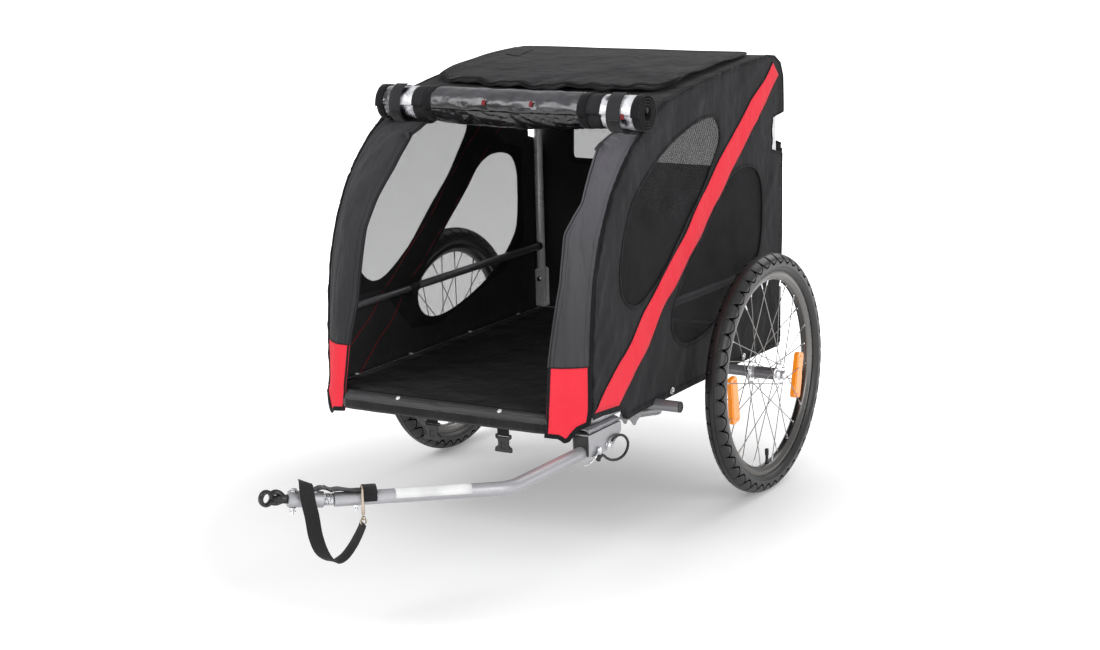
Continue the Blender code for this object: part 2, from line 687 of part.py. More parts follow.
# Front corner panels: slanted cloths from the side skin's edge to the opening's edge
def make_corner_panels():
    edge = [(-0.5700, CORNER_HEM[0])] + FRONT_EDGE[:-2] + [(-0.3720, 0.7620)]
    normals = inset(edge, -1.0)
    for side, sign in SIDES.items():
        start_x = SKIN_X - SKIN_T - CORNER_START[side]
        rows = []
        for index, ((y, z), (ny, nz)) in enumerate(zip(edge, normals)):
            out = Vector((ny - y, nz - z)).normalized()
            inner_x = between(CORNER_INNER[side], z)
            row = []
            for step in range(5):
                share = step / 4
                lift = CORNER_DEPTH * share + CORNER_BULGE[side] * math.sin(math.pi * share)
                x = start_x + (inner_x - start_x) * share
                height = z + out.y * lift if index else CORNER_HEM[step]
                row.append((sign * x, y + out.x * lift, height))
            rows.append(row if sign > 0 else row[::-1])
        sheet(side + "_corner_panel", rows, SKIN_T, FABRIC)


# Roof and back of the cabin
def make_roof_and_back():
    half = SKIN_X - SKIN_T - GAP
    roof = ROOF_EDGE + REAR_EDGE[:1]
    sheet("roof_panel", [[(x, y, z) for x in (-half, 0, half)] for y, z in roof], SKIN_T, FABRIC)
    first = tuple(Vector(REAR_EDGE[0]).lerp(Vector(REAR_EDGE[1]), 0.06))
    back = [first] + REAR_EDGE[1:] + [(0.2500, HEM_Z + 0.0040)]
    wide, low, high = BACK_WINDOW
    panel = sheet("rear_panel", [[(x, y, z) for x in (-half, 0, half)] for y, z in back], SKIN_T, FABRIC)
    window = cutter("back_window", box_data("back_window", (-wide, 0.2, low), (wide, 0.3, high)))
    boolean(panel, "DIFFERENCE", window)
    heights = [high + 0.012, 0.780, 0.720, 0.660, 0.610, low - 0.012]
    net = [(profile_y(REAR_EDGE, z) - SKIN_T - 0.0004, z) for z in heights]
    rows = [[(x, y, z) for x in (-wide - 0.012, 0, wide + 0.012)] for y, z in net]
    sheet("rear_window_mesh", rows, MESH_T, MESH_CLOTH)


# Loose flap that lies on the roof, with its front hem hanging
def make_roof_flap():
    half = SKIN_X - 0.012
    rows = []
    for step in range(13):
        y = 0.185 - 0.455 * step / 12
        roof_z = between(ROOF_EDGE, y)
        lift = 0.0024 + 0.0030 * math.sin(math.pi * step / 12) ** 2 + 0.0070 * (step / 12) ** 3
        row = []
        for column in range(13):
            x = -half + 2 * half * column / 12
            wave = 0.0016 * (1 + math.sin(column * 1.9 + step * 0.4)) * step / 12
            row.append((x, y, roof_z + lift + wave))
        rows.append(row)
    sheet("roof_flap", rows, 0.0015, FABRIC, offset=1.0)


# Rolled-up front cover: one sheet wound in a spiral
def make_roll_up():
    layer = 0.0042
    pitch = 0.0056
    turns = 4.5
    start_r = ROLL_R - layer / 2 - pitch * turns
    outer, inner = [], []
    for step in range(int(20 * turns) + 1):
        turn = 2 * math.pi * step / 20
        middle = start_r + pitch * step / 20
        outer.append(((middle + layer / 2) * math.cos(turn), (middle + layer / 2) * math.sin(turn)))
        inner.append(((middle - layer / 2) * math.cos(turn), (middle - layer / 2) * math.sin(turn)))
    loop = outer + inner[::-1]
    loop = [(ROLL_Y + y, ROLL_Z + z) for y, z in loop]
    first, last = ROLL_ENDS
    plate("roll_up_cover", [loop], last - first, YZ_PLANE, ((first + last) / 2, 0, 0), VINYL)
    print("roll-up cover: least gap between its layers", round(pitch - layer, 5))


# Side-release buckles that hang on webbing from the front tube
def make_buckles():
    for side, (x, foot) in BUCKLES.items():
        top = foot + 0.030
        y = FRONT_TUBE_Y
        low = (x - 0.0100, y - 0.0008, top - 0.005)
        web = box_data(side + "_buckle", low, (x + 0.0100, y + 0.0008, FRAME_BOTTOM - GAP))
        buckle = add(side + "_buckle", web, PLASTIC)
        outline = [
            (-0.0130, 0), (0.0130, 0), (0.0130, -0.0080), (0.0085, -0.0110), (0.0085, -0.0300),
            (-0.0085, -0.0300), (-0.0085, -0.0110), (-0.0130, -0.0080),
        ]
        outline = [(x + u, top + v) for u, v in outline]
        body = plate_data(side + "_buckle_body", [outline], 0.0060, XZ_PLANE, (0, y, 0))
        boolean(buckle, "UNION", cutter(side + "_buckle_body", body))


# Wheels
def spoke_ends(index, flange):
    """Start on the flange and end at the rim of one spoke; alternate spokes lean opposite ways."""
    lean = 1 if index % 2 else -1
    base = 2 * math.pi * (index + (0.25 if flange < 0 else -0.25)) / SPOKES_PER_FLANGE
    hub_turn = base + lean * math.radians(62)
    hub_r = FLANGE_R - 0.003
    rim_r = RIM_R - RIM_DEPTH - 0.0004
    hub_x = flange * (FLANGE_X + lean * 0.0013)
    rim_x = flange * (0.0026 + lean * 0.0013)
    start = (hub_x, hub_r * math.cos(hub_turn), hub_r * math.sin(hub_turn))
    end = (rim_x, rim_r * math.cos(base), rim_r * math.sin(base))
    return Vector(start), Vector(end)


def make_wheel(side, sign):
    centre = (sign * WHEEL_X, 0, AXLE_Z)
    body = joint_empty(side + "_wheel_axis", centre)
    half = TYRE_HALF_WIDTH
    wall = TYRE_WALL
    bead = RIM_R + GAP
    outer = [(bead, 0.60), (RIM_R + 0.352 * TYRE_SECTION, 0.97)]
    outer += [(RIM_R + 0.690 * TYRE_SECTION, 0.93), (RIM_R + 0.901 * TYRE_SECTION, 0.62)]
    profile = [(r, half * share) for r, share in outer]
    profile += [(TYRE_R, 0.0)]
    profile += [(r, -half * share) for r, share in reversed(outer)]
    lining = [(bead, 0.60), (RIM_R + 0.352 * TYRE_SECTION, 0.95)]
    lining += [(RIM_R + 0.634 * TYRE_SECTION, 0.90), (RIM_R + 0.831 * TYRE_SECTION, 0.50)]
    profile += [(r, -half * share + wall) for r, share in lining]
    profile += [(TYRE_R - wall, 0.0)]
    profile += [(r, half * share - wall) for r, share in reversed(lining)]
    turned(side + "_tyre", profile, TYRE_RUBBER, body, ALONG_X, centre, 56, closed=True)
    edge = RIM_HALF_WIDTH
    inner = RIM_R - RIM_DEPTH
    rim = [
        (RIM_R, edge), (RIM_R - 0.009, edge), (inner, edge * 0.5), (inner, -edge * 0.5),
        (RIM_R - 0.009, -edge), (RIM_R, -edge), (RIM_R, -edge + 0.002), (RIM_R - 0.005, -edge + 0.004),
        (RIM_R - 0.005, edge - 0.004), (RIM_R, edge - 0.002),
    ]
    turned(side + "_rim", rim[::-1], SILVER, body, ALONG_X, centre, 56, closed=True)
    bore = AXLE_R + BORE_CLEARANCE
    step = FLANGE_T / 2
    shell = [
        (bore, HUB_HALF_LENGTH), (0.009, HUB_HALF_LENGTH), (0.012, FLANGE_X + step),
        (FLANGE_R, FLANGE_X + step), (FLANGE_R, FLANGE_X - step), (HUB_SHELL_R, FLANGE_X - step),
        (HUB_SHELL_R, -FLANGE_X + step),
        (FLANGE_R, -FLANGE_X + step), (FLANGE_R, -FLANGE_X - step), (0.012, -FLANGE_X - step),
        (0.009, -HUB_HALF_LENGTH), (bore, -HUB_HALF_LENGTH),
    ]
    hub = turned(side + "_hub_and_spokes", shell, ZINC, body, ALONG_X, centre, 24, closed=True)

    def build(work):
        for flange in (-1, 1):
            for index in range(SPOKES_PER_FLANGE):
                start, end = spoke_ends(index, flange)
                add_rod(work, Vector(centre) + start, Vector(centre) + end, SPOKE_R, 5)

    spokes = carrier_cutter(side + "_spokes", mesh_from(side + "_spokes", build), body)
    boolean(hub, "UNION", spokes)
    for mark, turn in (("front", math.radians(188)), ("rear", math.radians(-14))):
        half_t = REFLECTOR_T / 2
        lens = box_data(side + mark, (-half_t, -0.0145, -0.046), (half_t, 0.0145, 0.046))
        spin = Matrix.Rotation(turn, 4, "X")
        lens.transform(Matrix.Translation(centre) @ spin @ Matrix.Translation((0, REFLECTOR_R, 0)))
        add(side + "_" + mark + "_reflector", lens, ORANGE, body)
    head = WHEEL_X + HUB_HALF_LENGTH + GAP
    collar = WHEEL_X - HUB_HALF_LENGTH - GAP
    pin = [
        (0.0, head + 0.008), (0.006, head + 0.008), (0.0085, head + 0.006), (0.0085, head), (AXLE_R, head),
        (AXLE_R, collar), (0.0110, collar), (0.0110, collar - AXLE_COLLAR), (0.0, collar - AXLE_COLLAR),
    ]
    flip = ALONG_X if sign > 0 else Matrix.Rotation(-math.pi / 2, 4, "Y")
    turned(side + "_axle", pin, ZINC, axle_origin, flip, (0, 0, AXLE_Z), 20)




# Channel under the left rail that the drawbar hangs in
def cross_hole(name, y):
    """A cutter for a bolt hole across the drawbar's straight part."""
    ends = [(DRAWBAR_X + reach, y, DRAWBAR_Z) for reach in (-0.05, 0.05)]
    return rod_data(name, *ends, BOLT_R + GAP)


def make_channel():
    top = FRAME_BOTTOM - GAP
    inner = DRAWBAR_R + GAP + LINER_T + GAP
    outer = inner + CHANNEL_T
    low = CHANNEL_LOW
    section = [
        (DRAWBAR_X - outer, low), (DRAWBAR_X - outer, top), (DRAWBAR_X + outer, top),
        (DRAWBAR_X + outer, low), (DRAWBAR_X + inner, low), (DRAWBAR_X + inner, top - CHANNEL_T),
        (DRAWBAR_X - inner, top - CHANNEL_T), (DRAWBAR_X - inner, low),
    ]
    length = CHANNEL_REAR_Y - CHANNEL_FRONT_Y
    middle = (0, (CHANNEL_REAR_Y + CHANNEL_FRONT_Y) / 2, 0)
    channel = plate("channel_bracket", [section], length, XZ_PLANE, middle, SILVER)
    wedge = [
        (TAPER_START_Y, low - 0.01), (TAPER_START_Y, low), (TAPER_END_Y, TAPER_END_Z),
        (TAPER_END_Y, low - 0.01),
    ]
    taper = plate_data("channel_taper", [wedge], 0.2, YZ_PLANE, (DRAWBAR_X, 0, 0))
    boolean(channel, "DIFFERENCE", cutter("channel_taper", taper))
    for name, y in (("pivot", PIVOT_Y), ("lock", LOCK_Y)):
        boolean(channel, "DIFFERENCE", cutter(name + "_hole", cross_hole(name + "_hole", y)))
    liner_x = inner - GAP
    ceiling = top - CHANNEL_T - GAP
    arch = [
        (DRAWBAR_X - liner_x, low + 0.003), (DRAWBAR_X - liner_x, ceiling),
        (DRAWBAR_X + liner_x, ceiling), (DRAWBAR_X + liner_x, low + 0.003),
    ]
    slot = DRAWBAR_R + GAP + 0.0002
    arch.append((DRAWBAR_X + slot, low + 0.003))
    for step in range(9):
        turn = math.pi * step / 8
        arch.append((DRAWBAR_X + slot * math.cos(turn), DRAWBAR_Z + slot * math.sin(turn)))
    arch.append((DRAWBAR_X - slot, low + 0.003))
    liner_length = LINER_REAR_Y - CHANNEL_FRONT_Y + 0.002
    middle = (0, CHANNEL_FRONT_Y - 0.002 + liner_length / 2, 0)
    liner = plate("channel_liner", [arch], liner_length, XZ_PLANE, middle, PLASTIC)
    boolean(liner, "DIFFERENCE", cutter("liner_hole", cross_hole("liner_hole", LOCK_Y)))
    bolt_reach = outer + 0.0055
    ends = [(DRAWBAR_X + sign * bolt_reach, PIVOT_Y, DRAWBAR_Z) for sign in (-1, 1)]
    bolt = add("pivot_bolt", rod_data("pivot_bolt", *ends, BOLT_R), ZINC)
    for name, sign in (("bolt_head", 1), ("bolt_nut", -1)):
        start = DRAWBAR_X + sign * (outer + GAP)
        end = (start + sign * 0.005, PIVOT_Y, DRAWBAR_Z)
        head = rod_data(name, (start, PIVOT_Y, DRAWBAR_Z), end, 0.0072, 6)
        boolean(bolt, "UNION", cutter(name, head))
    return outer


# Locking pin with its wire bail, and the loop that keeps it from getting lost
def make_locking_pin(outer):
    start = DRAWBAR_X + DRAWBAR_R + GAP
    face = DRAWBAR_X + outer + GAP
    body = joint_empty("locking_pin_axis", (face, LOCK_Y, DRAWBAR_Z))
    shank = rod_data("locking_pin", (start, LOCK_Y, DRAWBAR_Z), (face + 0.006, LOCK_Y, DRAWBAR_Z), BOLT_R)
    pin = add("locking_pin", shank, ZINC, body)
    head = rod_data("pin_head", (face, LOCK_Y, DRAWBAR_Z), (face + 0.005, LOCK_Y, DRAWBAR_Z), 0.0065)
    boolean(pin, "UNION", carrier_cutter("pin_head", head, body))
    bail = [(face + out, LOCK_Y - ahead, DRAWBAR_Z - below) for out, ahead, below in BAIL]
    wire = mesh_of_wire("pin_bail", bail, 0.0013, 1)
    boolean(pin, "UNION", carrier_cutter("pin_bail", wire, body))
    side_x = face + 0.0051
    loop = [(side_x, PIVOT_Y + y, DRAWBAR_Z + z) for y, z in TETHER_LOOP]
    tether = add("pin_tether", mesh_of_wire("pin_tether", loop, 0.0015, 2), PLASTIC, body)
    low = (side_x - 0.0045, LOCK_Y - 0.0120, DRAWBAR_Z - 0.0170)
    knot = box_data("tether_knot", low, (side_x + 0.0035, LOCK_Y - 0.0010, DRAWBAR_Z - 0.0069))
    boolean(tether, "UNION", carrier_cutter("tether_knot", knot, body))
    return body


# Drawbar: straight from the channel, then bent inward to the hitch
def make_drawbar():
    body = joint_empty("drawbar_pivot", (DRAWBAR_X, PIVOT_Y, DRAWBAR_Z))
    tail = PIVOT_Y + DRAWBAR_R
    corner = (DRAWBAR_X, DRAWBAR_CORNER_Y, DRAWBAR_Z)
    path = filleted([(DRAWBAR_X, tail, DRAWBAR_Z), corner, DRAWBAR_END], DRAWBAR_BEND_R, 8)
    bar = add("drawbar", mesh_of_wire("drawbar", path, DRAWBAR_R, 4), SILVER, body)
    hole = cross_hole("drawbar_hole", PIVOT_Y)
    boolean(bar, "DIFFERENCE", carrier_cutter("drawbar_hole", hole, body))
    return body


# Hitch: a spring coupling, the coupler tube and a forged eye on a shaft
def make_hitch(drawbar_body):
    start = Vector(DRAWBAR_END)
    eye = Vector(HITCH_EYE)
    way = (eye - start).normalized()
    corner = Vector((DRAWBAR_X, DRAWBAR_CORNER_Y, DRAWBAR_Z))
    bar_way = (start - corner).normalized()
    flex = start + way * SPRING_LENGTH / 2
    knuckle = joint_empty("coupler_swing_axis", flex, drawbar_body)
    body = joint_empty("coupler_nod_axis", flex, knuckle)
    begin = start + way * 2 * GAP
    end = start + way * (SPRING_LENGTH - GAP)
    core = add("spring_core", rod_data("spring_core", begin, end, 0.0020, 12), ZINC, knuckle)
    ball = mesh_from("core_ball", lambda work: add_ball(work, flex, 0.0060, 12))
    boolean(core, "UNION", carrier_cutter("core_ball", ball, knuckle))
    side = way.cross(Vector((0, 0, 1))).normalized()
    up = side.cross(way).normalized()
    coil = []
    per_turn = 10
    lead = SPRING_WIRE_R + GAP + (SPRING_R + SPRING_WIRE_R) * math.tan(bar_way.angle(way))
    free = SPRING_LENGTH - lead - SPRING_WIRE_R - GAP
    for step in range(SPRING_TURNS * per_turn + 1):
        turn = 2 * math.pi * step / per_turn
        along = start + way * (lead + free * step / (SPRING_TURNS * per_turn))
        coil.append(along + side * SPRING_R * math.cos(turn) + up * SPRING_R * math.sin(turn))
    least = min((a - b).length for index, a in enumerate(coil) for b in coil[index + per_turn - 1:])
    print("coupler spring: least gap to itself", round(least - 2 * SPRING_WIRE_R, 5))
    tube("coupler_spring", coil, SPRING_WIRE_R, ZINC, drawbar_body, resolution=1)
    front = start + way * COUPLER_REACH
    back = start + way * SPRING_LENGTH
    coupler = add("coupler_tube", mesh_of_wire("coupler_tube", [back, front], COUPLER_R, 4), SILVER, body)
    bore = rod_data("coupler_bore", front - way * 0.0300, front + way * 0.0100, SHAFT_R + GAP, 20)
    boolean(coupler, "DIFFERENCE", carrier_cutter("coupler_bore", bore, body))
    pin_at = start + way * PIN_REACH
    pin_hole = rod_data("pin_hole", pin_at - up * 0.03, pin_at + up * 0.03, 0.0033)
    boolean(coupler, "DIFFERENCE", carrier_cutter("coupler_pin_hole", pin_hole, body))
    normal = Vector((-math.cos(EYE_TURN), math.sin(EYE_TURN), 0))
    rod = rod_data("hitch_eye", front - way * 0.0285, eye - way * (EYE_R - 0.003), SHAFT_R, 20)
    shaft = add("hitch_eye", rod, BLACK_METAL, body)
    ring = rod_data("eye_ring", eye - normal * EYE_T / 2, eye + normal * EYE_T / 2, EYE_R, 28)
    boolean(shaft, "UNION", carrier_cutter("eye_ring", ring, body))
    eye_hole = rod_data("eye_hole", eye - normal * 0.03, eye + normal * 0.03, EYE_BORE_R, 24)
    boolean(shaft, "DIFFERENCE", carrier_cutter("eye_hole", eye_hole, body))
    shaft_hole = rod_data("shaft_hole", pin_at - up * 0.03, pin_at + up * 0.03, 0.0033)
    boolean(shaft, "DIFFERENCE", carrier_cutter("shaft_pin_hole", shaft_hole, body))
    top = pin_at + up * (COUPLER_R + GAP)
    rod = rod_data("hitch_pin", pin_at - up * (COUPLER_R + 0.010), top + up * 0.004, 0.0030)
    pin = add("hitch_pin", rod, ZINC, body)
    head = rod_data("hitch_pin_head", top, top + up * 0.003, 0.0080)
    boolean(pin, "UNION", carrier_cutter("hitch_pin_head", head, body))
    return body


# Safety strap: webbing along the bar, over the coupler and down in a loop to the snap hook
BAR_WAY = (Vector(DRAWBAR_END) - Vector((DRAWBAR_X, DRAWBAR_CORNER_Y, DRAWBAR_Z))).normalized()
BAR_LEVEL = Vector((BAR_WAY.x, BAR_WAY.y, 0)).normalized()
BAR_SIDE = Vector((-BAR_LEVEL.y, BAR_LEVEL.x, 0))


def beside_bar(past, out, up):
    """A place given past the bar's end, outward from the bar and above its axis."""
    along = BAR_WAY * past / BAR_WAY.dot(BAR_LEVEL)
    return Vector(DRAWBAR_END) + along + BAR_SIDE * out + Vector((0, 0, up))


def ribbon(work, points, turns):
    """Webbing along the points, its width turned from the bar's side towards the bar's own way."""
    rings = []
    for index, point in enumerate(points):
        way = (points[min(index + 1, len(points) - 1)] - points[max(index - 1, 0)]).normalized()
        turn = math.radians(turns[index])
        across = BAR_SIDE * math.cos(turn) - BAR_LEVEL * math.sin(turn)
        across = (across - way * across.dot(way)).normalized()
        face = way.cross(across)
        wide = across * STRAP_WIDTH / 2
        thick = face * STRAP_T / 2
        corners = (point - wide - thick, point + wide - thick, point + wide + thick, point - wide + thick)
        rings.append([work.verts.new(corner) for corner in corners])
    for first, second in zip(rings, rings[1:]):
        for a in range(4):
            b = (a + 1) % 4
            work.faces.new((first[a], first[b], second[b], second[a]))
    work.faces.new(rings[0])
    work.faces.new(rings[-1])
    bmesh.ops.recalc_face_normals(work, faces=work.faces)


def make_strap(drawbar_body):
    places = [beside_bar(past, out, up) for past, out, up, turn in STRAP_ROUTE]
    turns = [turn for past, out, up, turn in STRAP_ROUTE]
    webbing = mesh_from("safety_strap", lambda work: ribbon(work, places, turns))
    strap = add("safety_strap", webbing, FABRIC, drawbar_body)
    middle = Vector(DRAWBAR_END) + BAR_WAY * WRAP_PLACE
    wrap_r = DRAWBAR_R + GAP
    half = BAR_WAY * STRAP_WIDTH / 2
    outer = rod_data("strap_wrap", middle - half, middle + half, wrap_r + 0.0025, 20)
    boolean(strap, "UNION", carrier_cutter("strap_wrap", outer, drawbar_body))
    bore = rod_data("wrap_bore", middle - 4 * half, middle + 2 * half, wrap_r, 20)
    boolean(strap, "DIFFERENCE", carrier_cutter("wrap_bore", bore, drawbar_body))
    hook = [beside_bar(*place) for place in HOOK_ROUTE]
    tube("snap_hook", hook, 0.0028, ZINC, drawbar_body, resolution=2)


make_floor_frame()
make_floor()
make_hoops()
make_post_brackets()
make_parking_leg()
make_side_skin()
make_corner_panels()
make_roof_and_back()
make_roof_flap()
make_roll_up()
make_buckles()
for side, sign in SIDES.items():
    make_wheel(side, sign)
make_locking_pin(make_channel())
drawbar_pivot = make_drawbar()
make_hitch(drawbar_pivot)
make_strap(drawbar_pivot)
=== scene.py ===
from math import atan2, copysign, cos, dist, exp, pi, radians, sin, sqrt, tan

import bmesh
import bpy
from mathutils import Matrix, Vector, noise
from mathutils.geometry import delaunay_2d_cdt


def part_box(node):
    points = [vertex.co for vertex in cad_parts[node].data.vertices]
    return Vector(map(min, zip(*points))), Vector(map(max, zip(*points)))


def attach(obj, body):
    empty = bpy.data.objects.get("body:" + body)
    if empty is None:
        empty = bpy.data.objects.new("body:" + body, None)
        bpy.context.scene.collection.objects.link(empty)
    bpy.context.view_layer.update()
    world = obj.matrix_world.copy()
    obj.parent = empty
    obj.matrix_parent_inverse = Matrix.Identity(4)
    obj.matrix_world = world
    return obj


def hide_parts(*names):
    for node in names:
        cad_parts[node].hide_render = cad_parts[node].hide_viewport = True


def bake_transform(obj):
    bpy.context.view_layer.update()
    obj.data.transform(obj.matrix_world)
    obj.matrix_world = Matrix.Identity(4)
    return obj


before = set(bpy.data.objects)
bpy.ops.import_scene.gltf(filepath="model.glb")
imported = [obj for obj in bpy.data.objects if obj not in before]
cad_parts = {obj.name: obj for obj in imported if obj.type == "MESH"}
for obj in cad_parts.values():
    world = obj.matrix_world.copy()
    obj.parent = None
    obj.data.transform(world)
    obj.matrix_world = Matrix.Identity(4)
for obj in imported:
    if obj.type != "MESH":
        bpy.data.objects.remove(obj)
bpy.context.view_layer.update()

# The shapes below are drawn with the wheels' axle at y = 0, and this moves them into the row's frame
AXLE_Y = 0.450403
AXLE_Z = 0.245
TO_ROW = Vector((0.0, AXLE_Y, 0.0))
SIDES = {"left": 1, "right": -1}
# Planes of flat parts: one along the trailer and one across it
SIDE_PLANE = Matrix(((0, 0, 1), (1, 0, 0), (0, 1, 0))).to_4x4()
FRONT_PLANE = Matrix(((1, 0, 0), (0, 0, -1), (0, 1, 0))).to_4x4()

# Camera at the photograph's view
scene = bpy.context.scene
lens = bpy.data.cameras.new("camera")
camera = bpy.data.objects.new("camera", lens)
scene.collection.objects.link(camera)
scene.camera = camera
lens.sensor_width = 36.0
lens.lens = 72.0
lens.clip_start = 0.05
lens.clip_end = 60.0
azimuth, pitch, roll = (radians(a) for a in (31.043, 12.493, -1.464))
forward = Vector((-sin(azimuth) * cos(pitch), cos(azimuth) * cos(pitch), -sin(pitch)))
level = Vector((cos(azimuth), sin(azimuth), 0.0))
above = level.cross(forward)
right = level * cos(roll) + above * sin(roll)
above = -level * sin(roll) + above * cos(roll)
turn = Matrix((right, above, -forward)).transposed().to_4x4()
camera.matrix_world = Matrix.Translation(Vector((2.2519, -3.9499, 1.3195)) + TO_ROW) @ turn


# Shape building
def clamp(value):
    """The value, kept between 0 and 1."""
    return max(0.0, min(1.0, value))


def evenly(first, last, steps):
    """Values from first to last in equal steps."""
    return [first + (last - first) * k / steps for k in range(steps + 1)]


class Shape:
    """Vertices in the axle's frame, faces and one texture place in metres for each vertex."""

    def __init__(self):
        self.verts = []
        self.faces = []
        self.uvs = []

    def add(self, verts, faces, uvs=None):
        start = len(self.verts)
        self.verts += [Vector(v) for v in verts]
        self.uvs += list(uvs) if uvs else [(0.0, 0.0)] * len(verts)
        self.faces += [tuple(start + i for i in face) for face in faces]
        return self

    def moved(self, matrix):
        self.verts = [matrix @ v for v in self.verts]
        return self

    def join(self, *others):
        for other in others:
            self.add(other.verts, other.faces, other.uvs)
        return self


def frames_along(path, up=None, closed=False):
    """(tangent, side, up) at each place of the path. up is a fixed vector, a list, or None for no twist."""
    count = len(path)
    ways = []
    for i in range(count):
        a = path[(i - 1) % count] if closed or i > 0 else path[i]
        b = path[(i + 1) % count] if closed or i < count - 1 else path[i]
        ways.append((b - a).normalized())
    found = []
    last = None
    for i, way in enumerate(ways):
        if isinstance(up, list):
            top = up[i]
        elif up is not None:
            top = Vector(up)
        elif last is None:
            top = Vector((0, 0, 1)) if abs(way.z) < 0.9 else Vector((1, 0, 0))
        else:
            top = last
        top = (top - way * top.dot(way)).normalized()
        last = top
        found.append((way, way.cross(top), top))
    return found


def quads(rows, columns, round_rows=False, round_columns=False, flip=False):
    """The faces between rows of points; a round side's last row or column meets its first."""
    faces = []
    for i in range(rows if round_rows else rows - 1):
        j = (i + 1) % rows
        for k in range(columns if round_columns else columns - 1):
            m = (k + 1) % columns
            face = (i * columns + k, i * columns + m, j * columns + m, j * columns + k)
            faces.append(face[:1] + face[:0:-1] if flip else face)
    return faces


def around(steps):
    """Angles evenly round a circle."""
    return [2 * pi * i / steps for i in range(steps)]


def sweep(path, profile, up=None, closed=False, scales=None):
    """A closed (side, up) profile drawn along the path, capped where the path is open."""
    path = [Vector(p) for p in path]
    girth = [0.0]
    for a, b in zip(profile, profile[1:]):
        girth.append(girth[-1] + dist(a, b))
    verts, uvs = [], []
    run = 0.0
    for i, (_, side, top) in enumerate(frames_along(path, up, closed)):
        if i:
            run += (path[i] - path[i - 1]).length
        s = scales[i] if scales else 1.0
        verts += [path[i] + side * u * s + top * v * s for u, v in profile]
        uvs += [(run, g) for g in girth]
    n, rings = len(profile), len(path)
    faces = quads(rings, n, closed, True)
    if not closed:
        faces += [tuple(reversed(range(n))), tuple((rings - 1) * n + k for k in range(n))]
    return Shape().add(verts, faces, uvs)


def ring(radius, sides):
    """A circle's points, as pairs."""
    return [(radius * cos(a), radius * sin(a)) for a in around(sides)]


def tube(path, radius, sides=24, edge=0.0012):
    """A round tube whose ends have a small rounded edge."""
    path = [Vector(p) for p in path]
    first = (path[1] - path[0]).normalized() * edge
    last = (path[-1] - path[-2]).normalized() * edge
    slim = [1.0 - edge / radius, 1.0 - edge / radius * 0.3, 1.0]
    scales = slim + [1.0] * (len(path) - 2) + slim[::-1]
    path = [path[0], path[0] + first * 0.3, path[0] + first] + path[1:-1] + [
        path[-1] - last, path[-1] - last * 0.3, path[-1]]
    return sweep(path, ring(radius, sides), scales=scales)


def flat(width, thickness):
    """The profile of a tape: width along side, thickness along up, with round edges."""
    edge = thickness / 2
    w = width / 2 - edge
    return [(cx + edge * cos(radians(a)), edge * sin(radians(a)))
            for cx, start in ((w, 0), (-w, 90), (-w, 180), (w, 270)) for a in range(start, start + 91, 30)]


def lathe(profile, centre, axis, steps=48, closed=False):
    """(radius, height) points turned about the axis through the centre."""
    spin = Vector(axis).normalized().to_track_quat("Z", "Y").to_matrix()
    verts = [Vector(centre) + spin @ Vector((r * cos(a), r * sin(a), h))
             for a in around(steps) for r, h in profile]
    n = len(profile)
    faces = quads(steps, n, True, closed, flip=True)
    if not closed:
        for k, way in ((0, 1), (n - 1, -1)):
            if profile[k][0] > 1e-6:
                faces.append(tuple(i * n + k for i in range(steps))[::way])
    return Shape().add(verts, faces)


def block(size, matrix, bevel=0.001, segments=2):
    """A box of that size with rounded edges."""
    work = bmesh.new()
    bmesh.ops.create_cube(work, size=1.0, matrix=Matrix.Diagonal((*size, 1.0)))
    bmesh.ops.bevel(work, geom=work.edges[:], offset=bevel, segments=segments, profile=0.5, affect="EDGES")
    shape = Shape().add([v.co.copy() for v in work.verts], [tuple(v.index for v in f.verts) for f in work.faces])
    work.free()
    return shape.moved(matrix)


def at(x, y, z):
    """A matrix that moves things there."""
    return Matrix.Translation((x, y, z))


def grid(rows):
    """A cloth from rows of points."""
    rows = [[Vector(p) for p in row] for row in rows]
    columns = len(rows[0])
    uvs, down = [], 0.0
    for i, row in enumerate(rows):
        if i:
            down += (row[columns // 2] - rows[i - 1][columns // 2]).length
        across = 0.0
        for k, p in enumerate(row):
            if k:
                across += (p - row[k - 1]).length
            uvs.append((across, down))
    return Shape().add([p for row in rows for p in row], quads(len(rows), columns), uvs)


def inside(point, loop):
    """Whether a flat point lies inside a closed loop."""
    x, y = point
    found = False
    for (ax, ay), (bx, by) in zip(loop, loop[1:] + loop[:1]):
        if (ay > y) != (by > y) and x < (bx - ax) * (y - ay) / (by - ay) + ax:
            found = not found
    return found


def near_loop(point, loop, reach):
    """Whether a flat point lies within reach of a closed loop."""
    p = Vector(point)
    for a, b in zip(loop, loop[1:] + loop[:1]):
        a, b = Vector(a), Vector(b)
        d = b - a
        t = clamp((p - a).dot(d) / max(d.length_squared, 1e-12))
        if (p - a - d * t).length < reach:
            return True
    return False


def resample(loop, step, closed=True):
    """The path again, with places about a step apart."""
    points = [Vector(p) for p in loop]
    if closed:
        points.append(points[0])
    found = []
    for a, b in zip(points, points[1:]):
        count = max(1, round((b - a).length / step))
        found += [a.lerp(b, i / count) for i in range(count)]
    if not closed:
        found.append(points[-1])
    return found


def curved(points, steps=6, closed=False):
    """A smooth path through the points."""
    points = [Vector(p) for p in points]
    n = len(points)
    found = []
    for i in range(n if closed else n - 1):
        p1, p2 = points[i], points[(i + 1) % n]
        p0 = points[i - 1] if closed or i > 0 else p1 * 2 - p2
        p3 = points[(i + 2) % n] if closed or i + 2 < n else p2 * 2 - p1
        for k in range(steps):
            t = k / steps
            found.append(0.5 * (
                2 * p1 + (p2 - p0) * t + (2 * p0 - 5 * p1 + 4 * p2 - p3) * t * t
                + (3 * p1 - p0 - 3 * p2 + p3) * t * t * t))
    if not closed:
        found.append(points[-1])
    return found


